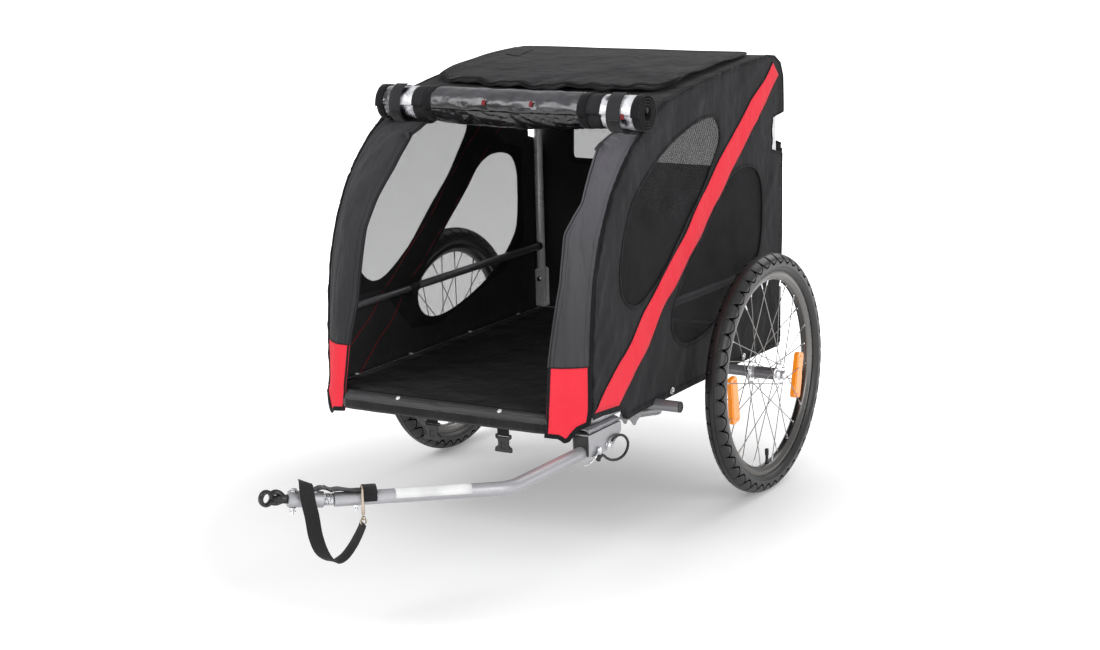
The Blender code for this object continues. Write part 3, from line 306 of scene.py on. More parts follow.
def within(point, loops):
    """Whether a point is inside the first loop and in none of its holes."""
    return inside(point, loops[0]) and not any(inside(point, hole) for hole in loops[1:])


def filled(loops, extra=(), tolerance=1e-9):
    """Points and triangles that fill the first loop around its holes."""
    points, edges = [], []
    for loop in loops:
        start = len(points)
        points += [Vector(p) for p in loop]
        edges += [(start + i, start + (i + 1) % len(loop)) for i in range(len(loop))]
    verts, _, faces, _, _, _ = delaunay_2d_cdt(points + list(extra), edges, [], 0, tolerance)
    kept = [tuple(face) for face in faces
            if within([sum(verts[i][axis] for i in face) / len(face) for axis in (0, 1)], loops)]
    return verts, kept


def cut_panel(outline, holes, place, spacing):
    """A cloth cut to an outline with holes; place(u, v) puts each of its points in space."""
    loops = [[(p[0], p[1]) for p in resample(loop, spacing * 0.7)] for loop in [outline] + holes]
    us, vs = zip(*loops[0])
    extra = []
    v = min(vs) + spacing / 2
    odd = 0
    while v < max(vs):
        u = min(us) + spacing / 2 * odd
        while u < max(us):
            if within((u, v), loops) and not any(near_loop((u, v), loop, spacing * 0.45) for loop in loops):
                extra.append(Vector((u, v)))
            u += spacing
        v += spacing * 0.87
        odd = 1 - odd
    verts, kept = filled(loops, extra, 1e-7)
    used = sorted({i for face in kept for i in face})
    index = {old: new for new, old in enumerate(used)}
    points = [(verts[i][0], verts[i][1]) for i in used]
    return Shape().add([place(u, v) for u, v in points], [tuple(index[i] for i in f) for f in kept], points)


def stitches(path, normal, pitch=0.0042, length=0.0026, radius=0.00035):
    """A row of thread stitches along a path; normal is a vector or one for each place."""
    path = [Vector(p) for p in path]
    shape = Shape()
    run = 0.0
    want = pitch / 2
    for i, (a, b) in enumerate(zip(path, path[1:])):
        d = b - a
        if d.length < 1e-9:
            continue
        half = d.normalized() * length / 2
        up = (normal[i] if isinstance(normal, list) else Vector(normal)) * radius
        while want <= run + d.length:
            middle = a + d.normalized() * (want - run)
            ends = [middle - half, middle - half / 2 + up, middle + half / 2 + up, middle + half]
            shape.join(sweep(ends, ring(radius, 5), scales=[0.4, 1, 1, 0.4]))
            want += pitch
        run += d.length
    return shape


def piece(name, shape, look, replaces=(), body="chassis", thick=0.0, offset=0.0, sharp=35):
    """Makes one object of the shape, in the row's frame, riding on its CAD body; a piece given no body rides on none.
    """
    mesh = bpy.data.meshes.new(name)
    mesh.from_pydata([v + TO_ROW for v in shape.verts], [], shape.faces)
    layer = mesh.uv_layers.new(name="UVMap")
    for loop in mesh.loops:
        layer.data[loop.index].uv = shape.uvs[loop.vertex_index]
    if not thick:
        work = bmesh.new()
        work.from_mesh(mesh)
        bmesh.ops.recalc_face_normals(work, faces=work.faces)
        work.to_mesh(mesh)
        work.free()
    mesh.materials.append(look)
    obj = bpy.data.objects.new(name, mesh)
    scene.collection.objects.link(obj)
    mesh.shade_smooth()
    mesh.set_sharp_from_angle(angle=radians(sharp))
    if thick:
        solid = obj.modifiers.new("thickness", "SOLIDIFY")
        solid.thickness = thick
        solid.offset = offset
    if body:
        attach(obj, body)
    if replaces:
        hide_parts(*replaces)
    return obj


# Looks
def make_look(name, colour, rough, metallic=0.0, **sockets):
    look = bpy.data.materials.new(name)
    look.use_nodes = True
    shader = look.node_tree.nodes["Principled BSDF"]
    shader.inputs["Base Color"].default_value = (*colour, 1.0)
    shader.inputs["Roughness"].default_value = rough
    shader.inputs["Metallic"].default_value = metallic
    for socket, value in sockets.items():
        shader.inputs[socket.replace("_", " ")].default_value = value
    look.diffuse_color = (*colour, 1.0)
    return look


class Graph:
    """Small helper to wire the nodes of a look or of the room."""

    def __init__(self, tree):
        self.tree = tree
        self.shader = tree.nodes.get("Principled BSDF")

    def node(self, kind, links=None, **values):
        made = self.tree.nodes.new(kind)
        for key, value in values.items():
            if hasattr(made, key):
                setattr(made, key, value)
            else:
                made.inputs[key.replace("_", " ")].default_value = value
        for key, source in (links or {}).items():
            self.tree.links.new(source, made.inputs[key])
        return made

    def place(self, kind="Object", scale=(1, 1, 1)):
        source = self.node("ShaderNodeTexCoord").outputs[kind]
        return self.node("ShaderNodeMapping", {"Vector": source}, Scale=scale).outputs["Vector"]

    def axis(self, kind, letter):
        return self.node("ShaderNodeSeparateXYZ", {"Vector": self.place(kind)}).outputs[letter]

    def noise(self, scale, detail=3.0, kind="Object", stretch=(1, 1, 1)):
        made = self.node("ShaderNodeTexNoise", {"Vector": self.place(kind, stretch)}, Scale=scale, Detail=detail)
        return made.outputs["Fac"]

    def bands(self, period, direction):
        made = self.node("ShaderNodeTexWave", {"Vector": self.place("UV")}, Scale=2 * pi / (20 * period))
        made.wave_type = "BANDS"
        made.bands_direction = direction
        return made.outputs["Fac"]

    def math(self, kind, *values):
        made = self.node("ShaderNodeMath", operation=kind)
        for i, value in enumerate(values):
            if isinstance(value, (int, float)):
                made.inputs[i].default_value = value
            else:
                self.tree.links.new(value, made.inputs[i])
        return made.outputs[0]

    def times(self, a, b):
        return self.math("MULTIPLY", a, b)

    def total(self, *parts):
        """The sum of (source, share) pairs."""
        found = self.times(*parts[0])
        for part in parts[1:]:
            found = self.math("ADD", found, self.times(*part))
        return found

    def ramp(self, source, *stops):
        made = self.node("ShaderNodeValToRGB", {"Fac": source})
        while len(made.color_ramp.elements) < len(stops):
            made.color_ramp.elements.new(0.5)
        for element, (where, colour) in zip(made.color_ramp.elements, stops):
            element.position = where
            element.color = (*colour, 1.0)
        return made.outputs["Color"]

    def map(self, source, a, b, c, d):
        made = self.node("ShaderNodeMapRange", {"Value": source}, From_Min=a, From_Max=b, To_Min=c, To_Max=d)
        return made.outputs["Result"]

    def bump(self, height, strength, distance, under=None):
        links = {"Height": height} if under is None else {"Height": height, "Normal": under}
        return self.node("ShaderNodeBump", links, Strength=strength, Distance=distance).outputs["Normal"]

    def put(self, **sources):
        for socket, source in sources.items():
            self.tree.links.new(source, self.shader.inputs[socket.replace("_", " ")])


def cloth_look(name, dark, pale, period=0.0011, sheen=0.05, rough=0.85, bump=0.5, gleam=0.15, folds=(1, 1, 0.6),
               top=None):
    """Woven cloth: crossing threads, a soft mottle, hollows and creases, with painted shade in the hollows; top is a
    paler colour painted on its upper part, a painted sheen.
    """
    look = make_look(name, pale, rough, Sheen_Weight=sheen, Sheen_Roughness=0.45, Specular_IOR_Level=gleam)
    g = Graph(look.node_tree)
    weave = g.times(g.math("ADD", g.bands(period, "X"), g.bands(period, "Y")), 0.5)
    fold_hollows_and_shade = g.noise(11.0, 3.0, stretch=folds)
    slub = g.noise(60.0, 2.0, "UV", (1.0, 14.0, 1.0))
    # The broad noise that bumps the hollows also darkens the colour in them: painted shade on the folds.
    mixed = g.total((g.noise(9.0, 4.0), 0.2), (fold_hollows_and_shade, 0.35), (slub, 0.2), (weave, 0.25))
    # With top, the colour is painted paler and more purple towards the top: painted sheen where the light falls.
    if top:
        rise = g.map(g.axis("Object", "Z"), 0.46, 0.7, 0.0, 0.4)
        colour = g.ramp(g.total((mixed, 0.6), (rise, 1.0)), (0.2, dark), (0.4, pale), (0.8, top))
    else:
        colour = g.ramp(mixed, (0.34, dark), (0.66, pale))
    creases = g.bump(g.noise(30.0, 3.0, stretch=folds), 0.6, 0.004, g.bump(fold_hollows_and_shade, 0.8, 0.022))
    g.put(Base_Color=colour, Roughness=g.map(slub, 0.2, 0.8, rough - 0.06, rough + 0.06),
          Normal=g.bump(weave, bump, 0.00025, creases))
    return look


def net_look():
    """Fine see-through net: threads with small round holes between them."""
    look = make_look("window_net", (0.022, 0.022, 0.024), 0.8, Specular_IOR_Level=0.15)
    g = Graph(look.node_tree)
    threads = g.times(g.bands(0.0015, "X"), g.bands(0.0013, "Y"))
    g.put(Alpha=g.map(threads, 0.24, 0.54, 0.94, 0.24), Normal=g.bump(threads, 0.4, 0.0002),
          Base_Color=g.ramp(g.noise(14.0, 2.0), (0.3, (0.018, 0.018, 0.019)), (0.7, (0.028, 0.028, 0.03))))
    return look


def metal_look(name, colour, rough, metallic=1.0, grain=0.06):
    """Metal with faint drawing lines and blotches."""
    look = make_look(name, colour, rough, metallic)
    g = Graph(look.node_tree)
    blotch, spots = g.noise(6.0, 3.0), g.noise(240.0, 2.0)
    dark = tuple(c * 0.84 for c in colour)
    pale = tuple(min(1.0, c * 1.08) for c in colour)
    lines = g.total((g.noise(70.0, 4.0, stretch=(1.0, 0.12, 1.0)), 0.6), (blotch, 0.4))
    g.put(Base_Color=g.ramp(g.total((blotch, 0.6), (spots, 0.4)), (0.3, dark), (0.7, pale)),
          Roughness=g.map(lines, 0.3, 0.7, rough - grain, rough + grain), Normal=g.bump(spots, 0.05, 0.0004))
    return look


def moulded_look(name, colour, rough):
    """Moulded plastic or rubber with a fine spark-eroded grain."""
    look = make_look(name, colour, rough)
    g = Graph(look.node_tree)
    broad = g.noise(12.0, 3.0)
    dark, pale = tuple(c * 0.8 for c in colour), tuple(c * 1.25 for c in colour)
    g.put(Base_Color=g.ramp(broad, (0.3, dark), (0.7, pale)),
          Roughness=g.map(broad, 0.3, 0.7, rough - 0.06, rough + 0.08),
          Normal=g.bump(g.noise(900.0, 2.0), 0.25, 0.0002))
    return look


CLOTH = cloth_look("charcoal_cloth", (0.019, 0.019, 0.0205), (0.036, 0.036, 0.0385))
# The near corner cloth, with a painted sheen: its upper part is painted paler and more purple (top).
CLOTH_SHEEN = cloth_look("corner_cloth", (0.022, 0.022, 0.024), (0.046, 0.046, 0.05), top=(0.105, 0.1, 0.116),
                         sheen=0.25, rough=0.62, gleam=0.45, folds=(2.2, 2.2, 0.35))
FLOOR_CLOTH = cloth_look("floor_cloth", (0.0045, 0.0045, 0.005), (0.01, 0.01, 0.011), sheen=0.05, rough=0.75)
RED = cloth_look("red_cloth", (0.94, 0.036, 0.06), (1.0, 0.056, 0.084), sheen=0.1)
BINDING = cloth_look("binding_tape", (0.008, 0.008, 0.009), (0.017, 0.017, 0.019), period=0.0016, sheen=0.1)
WEBBING = cloth_look("ribbed_webbing", (0.012, 0.012, 0.013), (0.036, 0.035, 0.036), period=0.0026, sheen=0.25,
                     bump=1.0)
NET = net_look()
SILVER = metal_look("painted_silver", (0.47, 0.47, 0.49), 0.48, metallic=0.6)
GREY = metal_look("grey_enamel", (0.27, 0.27, 0.285), 0.33, metallic=0.65)
ZINC = metal_look("bright_zinc", (0.74, 0.75, 0.77), 0.22, grain=0.05)
RIM = metal_look("brushed_rim", (0.16, 0.155, 0.15), 0.3, grain=0.06)
SPOKE = metal_look("spoke_steel", (0.3, 0.29, 0.28), 0.3)
STEEL = metal_look("pressed_steel", (0.4, 0.4, 0.415), 0.42, metallic=0.8)
# Posts and their brackets: a real grey, painted almost white and little metallic, painted light so that they look lit
# in the dark cabin.
GREY_PAINTED_LIT = metal_look("grey_enamel_painted_lit", (0.95, 0.95, 0.97), 0.3, metallic=0.15)
# Rivets: zinc painted pale and little metallic, painted light so that they look lit instead of mirroring the dark
# cabin.
RIVET_PAINTED_LIT = metal_look("rivet_painted_lit", (0.85, 0.85, 0.86), 0.28, metallic=0.3)
BRASS = metal_look("nickel_brass", (0.42, 0.36, 0.29), 0.26)
FORGED = metal_look("black_forging", (0.016, 0.016, 0.017), 0.3, metallic=0.2, grain=0.1)
PLASTIC = moulded_look("black_plastic", (0.016, 0.016, 0.017), 0.45)
RUBBER = make_look("tyre_rubber", (0.018, 0.0175, 0.0175), 0.4)
SOFT_RUBBER = moulded_look("soft_rubber", (0.012, 0.012, 0.012), 0.5)
VINYL = make_look("dark_vinyl", (0.02, 0.02, 0.022), 0.24, Coat_Weight=0.25, Coat_Roughness=0.12)
FAR_CORNER = cloth_look("far_corner_cloth", (0.024, 0.024, 0.026), (0.046, 0.046, 0.05), gleam=0.3,
                        folds=(2.0, 2.0, 0.5))
SLEEVE = cloth_look("sleeve_cloth", (0.02, 0.02, 0.021), (0.046, 0.046, 0.049), rough=0.5, gleam=0.5,
                    folds=(0.5, 2.0, 2.0))
STRAP_GREY = cloth_look("strap_webbing", (0.024, 0.024, 0.026), (0.046, 0.046, 0.05), period=0.0022, sheen=0.1,
                        bump=0.9)
LABEL = moulded_look("bare_label", (0.8, 0.8, 0.8), 0.35)
RED_THREAD = make_look("red_thread", (0.2, 0.008, 0.014), 0.8)
THREAD = make_look("black_thread", (0.01, 0.01, 0.01), 0.8)
# The lenses also glow a little (emission): painted light, so that they look lit where they lie in shade.
ORANGE = make_look("reflector_orange", (1.0, 0.35, 0.02), 0.22, Coat_Weight=0.4, Coat_Roughness=0.08,
                   Emission_Color=(1.0, 0.35, 0.02, 1.0), Emission_Strength=0.32)
PVC = make_look("clear_pvc", (0.7, 0.71, 0.73), 0.1, Coat_Weight=0.8, Coat_Roughness=0.05)
HOOK_LOOP = cloth_look("hook_and_loop", (0.008, 0.008, 0.008), (0.022, 0.022, 0.022), period=0.0028, sheen=0.35,
                       bump=1.0)


def finish_reflector():
    """Small crossing prisms."""
    g = Graph(ORANGE.node_tree)
    prisms = g.times(g.bands(0.003, "DIAGONAL"), g.bands(0.003, "Z"))
    g.put(Base_Color=g.ramp(prisms, (0.1, (0.95, 0.24, 0.01)), (0.7, (1.0, 0.4, 0.028))),
          Normal=g.bump(prisms, 0.5, 0.0004))


def finish_pvc():
    """Clear sheet wound on itself, with its reflections painted into the colour: mostly milky white, a painted
    reflection of the bright room, with dark patches where the layers below show; the bright streaks are painted
    glints.
    """
    g = Graph(PVC.node_tree)
    dents_and_painted_glints = g.noise(70.0, 2.0, stretch=(1.0, 0.5, 0.5))
    patch = g.total((g.noise(30.0, 3.0, stretch=(1.0, 0.7, 0.7)), 0.7), (dents_and_painted_glints, 0.3))
    g.put(Normal=g.bump(dents_and_painted_glints, 0.5, 0.004), Base_Color=g.ramp(
        patch, (0.36, (0.02, 0.02, 0.022)), (0.42, (0.22, 0.22, 0.24)), (0.47, (0.72, 0.72, 0.76)),
        (0.66, (0.95, 0.95, 0.97))))


def finish_vinyl():
    """Dark sheet: paler where the light falls on its upper half, with crisp dents."""
    g = Graph(VINYL.node_tree)
    wavy = g.total((g.axis("Object", "Z"), 1.0), (g.noise(22.0, 2.0, stretch=(1.0, 0.3, 0.3)), 0.03))
    speck = g.noise(34.0, 4.0)
    mixed = g.node("ShaderNodeMixRGB", {
        "Fac": g.map(wavy, ROLL_Z + 0.0205, ROLL_Z + 0.0235, 0.0, 1.0),
        "Color1": g.ramp(speck, (0.35, (0.006, 0.006, 0.007)), (0.75, (0.016, 0.016, 0.018))),
        "Color2": g.ramp(speck, (0.35, (0.04, 0.038, 0.044)), (0.75, (0.085, 0.082, 0.092)))})
    g.put(Base_Color=mixed.outputs["Color"], Roughness=g.map(g.noise(18.0, 3.0), 0.3, 0.7, 0.16, 0.34),
          Normal=g.bump(g.noise(46.0, 3.0), 0.3, 0.003))


def finish_tyre():
    """The tyre's map runs round it in tread blocks, and up its wall; each block ends in a half-moon groove."""
    g = Graph(RUBBER.node_tree)
    arch = g.math("SINE", g.times(g.math("FRACT", g.axis("UV", "X")), pi))
    moon = g.math("SUBTRACT", 0.82, g.times(arch, 0.34))
    wall = g.axis("UV", "Y")
    groove = g.map(g.math("ABSOLUTE", g.math("SUBTRACT", wall, moon)), 0.02, 0.08, 0.0, 1.0)
    bead = g.map(g.math("ABSOLUTE", g.math("SUBTRACT", wall, 0.24)), 0.008, 0.022, 0.0, 1.0)
    height = g.times(groove, g.math("ADD", g.times(bead, 0.4), 0.6))
    # The grooves and the line at the bead are painted near black: painted shade in the recesses; the noise adds a
    # random tone.
    shade = g.times(height, g.map(g.noise(40.0, 3.0), 0.3, 0.7, 0.7, 1.0))
    g.put(Base_Color=g.ramp(shade, (0.1, (0.001, 0.001, 0.001)), (0.9, (0.022, 0.0215, 0.0215))),
          Specular_IOR_Level=g.map(height, 0.2, 1.0, 0.0, 0.5),
          Normal=g.bump(g.noise(700.0, 2.0), 0.2, 0.0002, g.bump(height, 1.0, 0.004)))


finish_tyre()
finish_reflector()
finish_pvc()


# Layout, repeated from the part's source
SKIN_X, SKIN_T, PANEL_T, GAP = 0.2985, 0.002, 0.0016, 0.0003
FRAME_R, CROSS_R, HOOP_R = 0.0125, 0.011, 0.0095
RAIL_X, RAIL_Z, HOOP_X = 0.2837, 0.2688, 0.2867
FRAME_TOP, FRAME_BOTTOM = 0.2813, 0.2563
FRONT_Y, REAR_Y, CORNER_R, MID_Y = -0.6, 0.2365, 0.085, -0.318
CORNER_X = RAIL_X - CORNER_R
SIDE_BAR_Z, SLIDE_END_Y = 0.421, -0.28
ROLL_Y, ROLL_Z, ROLL_R, ROLL_PITCH, ROLL_TURNS = -0.356, 0.8129, 0.038, 0.0056, 4.5
WHEEL_X, TYRE_R, TYRE_HALF, RIM_R, RIM_HALF, RIM_DEPTH = 0.383, 0.245, 0.021, 0.2095, 0.0125, 0.018
TYRE_SECTION = TYRE_R - RIM_R
HUB_HALF, HUB_R, FLANGE_R, FLANGE_X, SPOKES = 0.036, 0.011, 0.024, 0.03, 14
DRAWBAR_X, DRAWBAR_Z, DRAWBAR_R, BEND_R = 0.285, 0.213, 0.0125, 0.07
PIVOT_Y, LOCK_Y = -0.514, -0.552
DRAWBAR_END = Vector((0.079, -1.068, 0.23))
DRAWBAR_CORNER = Vector((DRAWBAR_X, -0.83, DRAWBAR_Z))
EYE = Vector((0.0035, -1.155, 0.245))
HEM_Z = 0.247
HEM_CUTS = [MID_Y, 0.0]

FRONT_EDGE = [
    (-0.563, 0.277), (-0.559, 0.3), (-0.557, 0.38), (-0.55, 0.455), (-0.54, 0.52),
    (-0.521, 0.581), (-0.496, 0.633), (-0.468, 0.677), (-0.43, 0.717), (-0.398, 0.7445),
    (-0.363, 0.7675), (-0.3376, 0.7835),
]
ROOF_EDGE = [
    (-0.3376, 0.7835), (-0.312, 0.7995), (-0.255, 0.825), (-0.172, 0.838), (-0.088, 0.849),
    (0.045, 0.861), (0.19, 0.869),
]
REAR_EDGE = [
    (0.228, 0.864), (0.255, 0.848), (0.268, 0.82), (0.27, 0.78), (0.262, 0.6), (0.255, 0.4),
    (0.252, 0.262),
]
FRONT_WINDOW = [
    (-0.033, 0.745), (-0.036, 0.715), (-0.074, 0.669), (-0.114, 0.627), (-0.171, 0.584), (-0.218, 0.545),
    (-0.27, 0.503), (-0.336, 0.466), (-0.384, 0.452), (-0.42, 0.462), (-0.444, 0.488), (-0.448, 0.525),
    (-0.439, 0.567), (-0.422, 0.611), (-0.39, 0.655), (-0.337, 0.693), (-0.279, 0.725), (-0.205, 0.752),
    (-0.128, 0.769), (-0.06, 0.771),
]
REAR_WINDOW = [
    (0.085, 0.652), (0.135, 0.64), (0.16, 0.608), (0.165, 0.555), (0.156, 0.48), (0.125, 0.44),
    (0.08, 0.408), (0.02, 0.378), (-0.045, 0.357), (-0.12, 0.34), (-0.18, 0.337), (-0.22, 0.35),
    (-0.243, 0.378), (-0.24, 0.412), (-0.215, 0.447), (-0.165, 0.495), (-0.105, 0.543), (-0.045, 0.59),
    (0.0, 0.63), (0.04, 0.648),
]
WINDOW_NET = [
    (-0.462, 0.435), (-0.462, 0.56), (-0.4, 0.68), (-0.25, 0.755), (-0.02, 0.79), (0.1, 0.672),
    (0.18, 0.65), (0.18, 0.44), (0.1, 0.39), (-0.18, 0.32), (-0.27, 0.33), (-0.38, 0.435),
]
BAND_UPPER = [
    (0.217, 0.855), (0.163, 0.815), (0.054, 0.745), (-0.033, 0.684), (-0.113, 0.618), (-0.2, 0.551),
    (-0.307, 0.472), (-0.41, 0.395), (-0.478, 0.345), (-0.552, 0.3),
]
BAND_LOWER = [
    (-0.463, 0.279), (-0.42, 0.306), (-0.353, 0.364), (-0.263, 0.434), (-0.168, 0.506), (-0.07, 0.581),
    (0.03, 0.656), (0.129, 0.732), (0.246, 0.823),
]
CORNER_INNER = {
    "left": [(0.243, 0.225), (0.3, 0.228), (0.38, 0.233), (0.455, 0.243), (0.52, 0.252), (0.565, 0.25),
             (0.595, 0.247), (0.62, 0.258), (0.645, 0.27), (0.677, 0.268), (0.717, 0.262), (0.762, 0.254),
             (0.801, 0.248)],
    "right": [(0.243, 0.229), (0.3, 0.223), (0.38, 0.211), (0.455, 0.194), (0.52, 0.19), (0.581, 0.19),
              (0.633, 0.179), (0.677, 0.162), (0.717, 0.156), (0.745, 0.158), (0.762, 0.166), (0.779, 0.172)],
}
CORNER_START = {"left": 0.0016, "right": 0.0009}
CORNER_DEPTH, CORNER_BULGE = 0.047, {"left": 0.008, "right": 0.016}
CORNER_HEM = [(0, 0.263), (0.22, 0.255), (0.32, 0.246), (0.42, 0.235), (0.5, 0.233), (0.56, 0.237), (0.66, 0.241),
              (1.0, 0.243)]
CORNER_RED_TOP = {"left": 0.368, "right": 0.37}
BACK_WINDOW = (0.212, 0.6185, 0.8)
STRAP_WIDTH, WRAP_PLACE = 0.025, -0.061
STRAP_ROUTE = [
    (-0.056, 0.0, 0.0141, 0), (-0.0465, 0.0, 0.0141, 0), (-0.0327, 0.0, 0.0143, 0),
    (-0.0207, 0.0, 0.0164, 0), (-0.0086, 0.0, 0.0181, 0), (0.0037, 0.0, 0.0168, 0),
    (0.0137, 0.0, 0.0215, 0), (0.0222, 0.0, 0.023, 0), (0.031, 0.0, 0.02, 0),
    (0.04, 0.0015, 0.0235, 25), (0.0465, 0.006, 0.031, 52), (0.05, 0.012, 0.0375, 78),
    (0.0508, 0.019, 0.037, 90), (0.0505, 0.0235, 0.029, 90), (0.049, 0.024, 0.013, 88),
    (0.0466, 0.023, -0.003, 86), (0.0427, 0.0215, -0.022, 82), (0.0384, 0.02, -0.0545, 78),
    (0.0299, 0.018, -0.0824, 64), (0.0174, 0.016, -0.0992, 44), (0.004, 0.015, -0.105, 30),
    (-0.0115, 0.015, -0.0975, 22), (-0.0265, 0.016, -0.0785, 18), (-0.036, 0.018, -0.061, 15),
    (-0.0415, 0.0195, -0.049, 12), (-0.0452, 0.0206, -0.039, 12),
]
STRAP_PARTS = (("strap_bar", 0, 6, 0.0014), ("strap_webbing", 5, 20, 0.0), ("strap_arm", 20, 25, 0.0))
HOOK_PLACE = (-0.0462, 0.0188)

TETHER_LOOP = [
    (-0.042, -0.012), (-0.033, -0.011), (-0.024, -0.014), (-0.014, -0.021), (0.004, -0.029),
    (0.028, -0.0335), (0.051, -0.031), (0.065, -0.021), (0.066, -0.008), (0.053, 0.005),
    (0.034, 0.0115), (0.015, 0.011), (0.006, 0.0073),
]
BAIL = [
    (0.003, 0.0, 0.0), (0.0045, 0.0085, 0.0025), (0.004, 0.0165, 0.0085), (0.0006, 0.022, 0.015),
    (-0.0029, 0.027, 0.0185), (-0.0039, 0.034, 0.02), (-0.0039, 0.041, 0.0195),
]
BUCKLES = {"left": (0.128, 0.204), "right": (-0.031, 0.209)}

# The vinyl's look needs the roll's height
finish_vinyl()


def box(node):
    """A CAD node's corners in the axle's frame."""
    low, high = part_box(node)
    return Vector(low) - TO_ROW, Vector(high) - TO_ROW


def between(pairs, value):
    """What belongs to a value, by straight lines between the (value, what) pairs."""
    for (a, first), (b, last) in zip(pairs, pairs[1:]):
        if value <= b:
            return first + (last - first) * (value - a) / (b - a)
    return pairs[-1][1]


def way_at(path, i):
    """The way that a path runs at one of its places."""
    return (Vector(path[min(i + 1, len(path) - 1)]) - Vector(path[max(i - 1, 0)])).normalized()


def inset(path, distance):
    """The path moved to its right by a distance."""
    moved = []
    for i, point in enumerate(path):
        way = way_at(path, i)
        moved.append((point[0] + way.y * distance, point[1] - way.x * distance))
    return moved


def shoelace(loop):
    """The area inside a closed flat loop, below 0 if it runs clockwise."""
    return sum(loop[i - 1][0] * loop[i][1] - loop[i][0] * loop[i - 1][1] for i in range(len(loop))) / 2


def offset_loop(loop, distance):
    """A closed flat loop moved inwards by a distance."""
    n = len(loop)
    turn = 1 if shoelace(loop) > 0 else -1
    found = []
    for i in range(n):
        a, p, b = Vector(loop[i - 1][:2]), Vector(loop[i][:2]), Vector(loop[(i + 1) % n][:2])
        n1 = Vector(((a - p).y, (p - a).x)).normalized() * turn
        n2 = Vector(((p - b).y, (b - p).x)).normalized() * turn
        mitre = (n1 + n2).normalized()
        found.append(p + mitre * distance / max(0.35, mitre.dot(n1)))
    return found


def filleted(points, radius, steps=12):
    """A path with its corners bent to a radius."""
    path = [Vector(points[0])]
    for before, corner, after in zip(points, points[1:], points[2:]):
        corner = Vector(corner)
        into = (Vector(before) - corner).normalized()
        out = (Vector(after) - corner).normalized()
        half = into.angle(out) / 2
        centre = corner + (into + out).normalized() * radius / sin(half)
        start = corner + into * radius / tan(half)
        end = corner + out * radius / tan(half)
        for share in evenly(0, 1, steps):
            blend = start.lerp(end, share) - centre
            path.append(centre + blend.normalized() * radius)
    path.append(Vector(points[-1]))
    return path


def slab(outline, thickness, matrix, holes=(), bevel=0.0005):
    """A flat outline with holes, given thickness about the matrix's XY plane, with eased edges."""
    loops = [list(outline)] + [list(h) for h in holes]
    eased = [[tuple(p) for p in offset_loop(loop, -bevel if i else bevel)] for i, loop in enumerate(loops)]
    verts, kept = filled(eased)
    half = thickness / 2
    shape = Shape().add([(v[0], v[1], half) for v in verts], kept)
    shape.add([(v[0], v[1], -half) for v in verts], [f[::-1] for f in kept])
    for loop, soft in zip(loops, eased):
        levels = ((soft, half), (loop, half - bevel), (loop, bevel - half), (soft, -half))
        shape.add([(p[0], p[1], z) for line, z in levels for p in line], quads(4, len(loop), round_columns=True))
    return shape.moved(matrix)


def circle(x, y, r, steps=24):
    return [(x + u, y + v) for u, v in ring(r, steps)]


def rounded(outline, radius, steps=5):
    """A closed flat outline with its corners rounded."""
    found = []
    n = len(outline)
    for i in range(n):
        a, p, b = Vector(outline[i - 1]), Vector(outline[i]), Vector(outline[(i + 1) % n])
        r = min(radius, (a - p).length * 0.45, (b - p).length * 0.45)
        start, end = p + (a - p).normalized() * r, p + (b - p).normalized() * r
        for t in evenly(0, 1, steps):
            found.append(tuple(start * (1 - t) ** 2 + p * 2 * t * (1 - t) + end * t * t))
    return found


def facing(centre, axis, up=(0, 0, 1)):
    """A frame whose Z runs along the axis."""
    z = Vector(axis).normalized()
    y = Vector(up) - z * Vector(up).dot(z)
    if y.length < 1e-4:
        y = Vector((0, 1, 0)) - z * z.y
    y.normalize()
    x = y.cross(z)
    return Matrix.Translation(centre) @ Matrix((x, y, z)).transposed().to_4x4()


def hexagon(centre, axis, across, height):
    """A nut or bolt head that stands on the centre."""
    middle = Vector(centre) + Vector(axis).normalized() * height / 2
    return slab(ring(across / sqrt(3), 6), height, facing(middle, axis), bevel=0.0006)


def dome(centre, axis, radius, height, steps=20):
    profile = ((1, 0), (1, 0.25), (0.82, 0.7), (0.45, 0.95), (0, 1))
    return lathe([(radius * r, height * h) for r, h in profile], centre, axis, steps)


def washer(centre, axis, outer, inner, height):
    e = min(0.0004, height * 0.3)
    profile = [(inner, 0), (outer - e, 0), (outer, e), (outer, height - e), (outer - e, height), (inner, height)]
    return lathe(profile, centre, axis, 36, closed=True)


def smooth_noise(x, y, z=0.0):
    return noise.noise(Vector((x, y, z)))


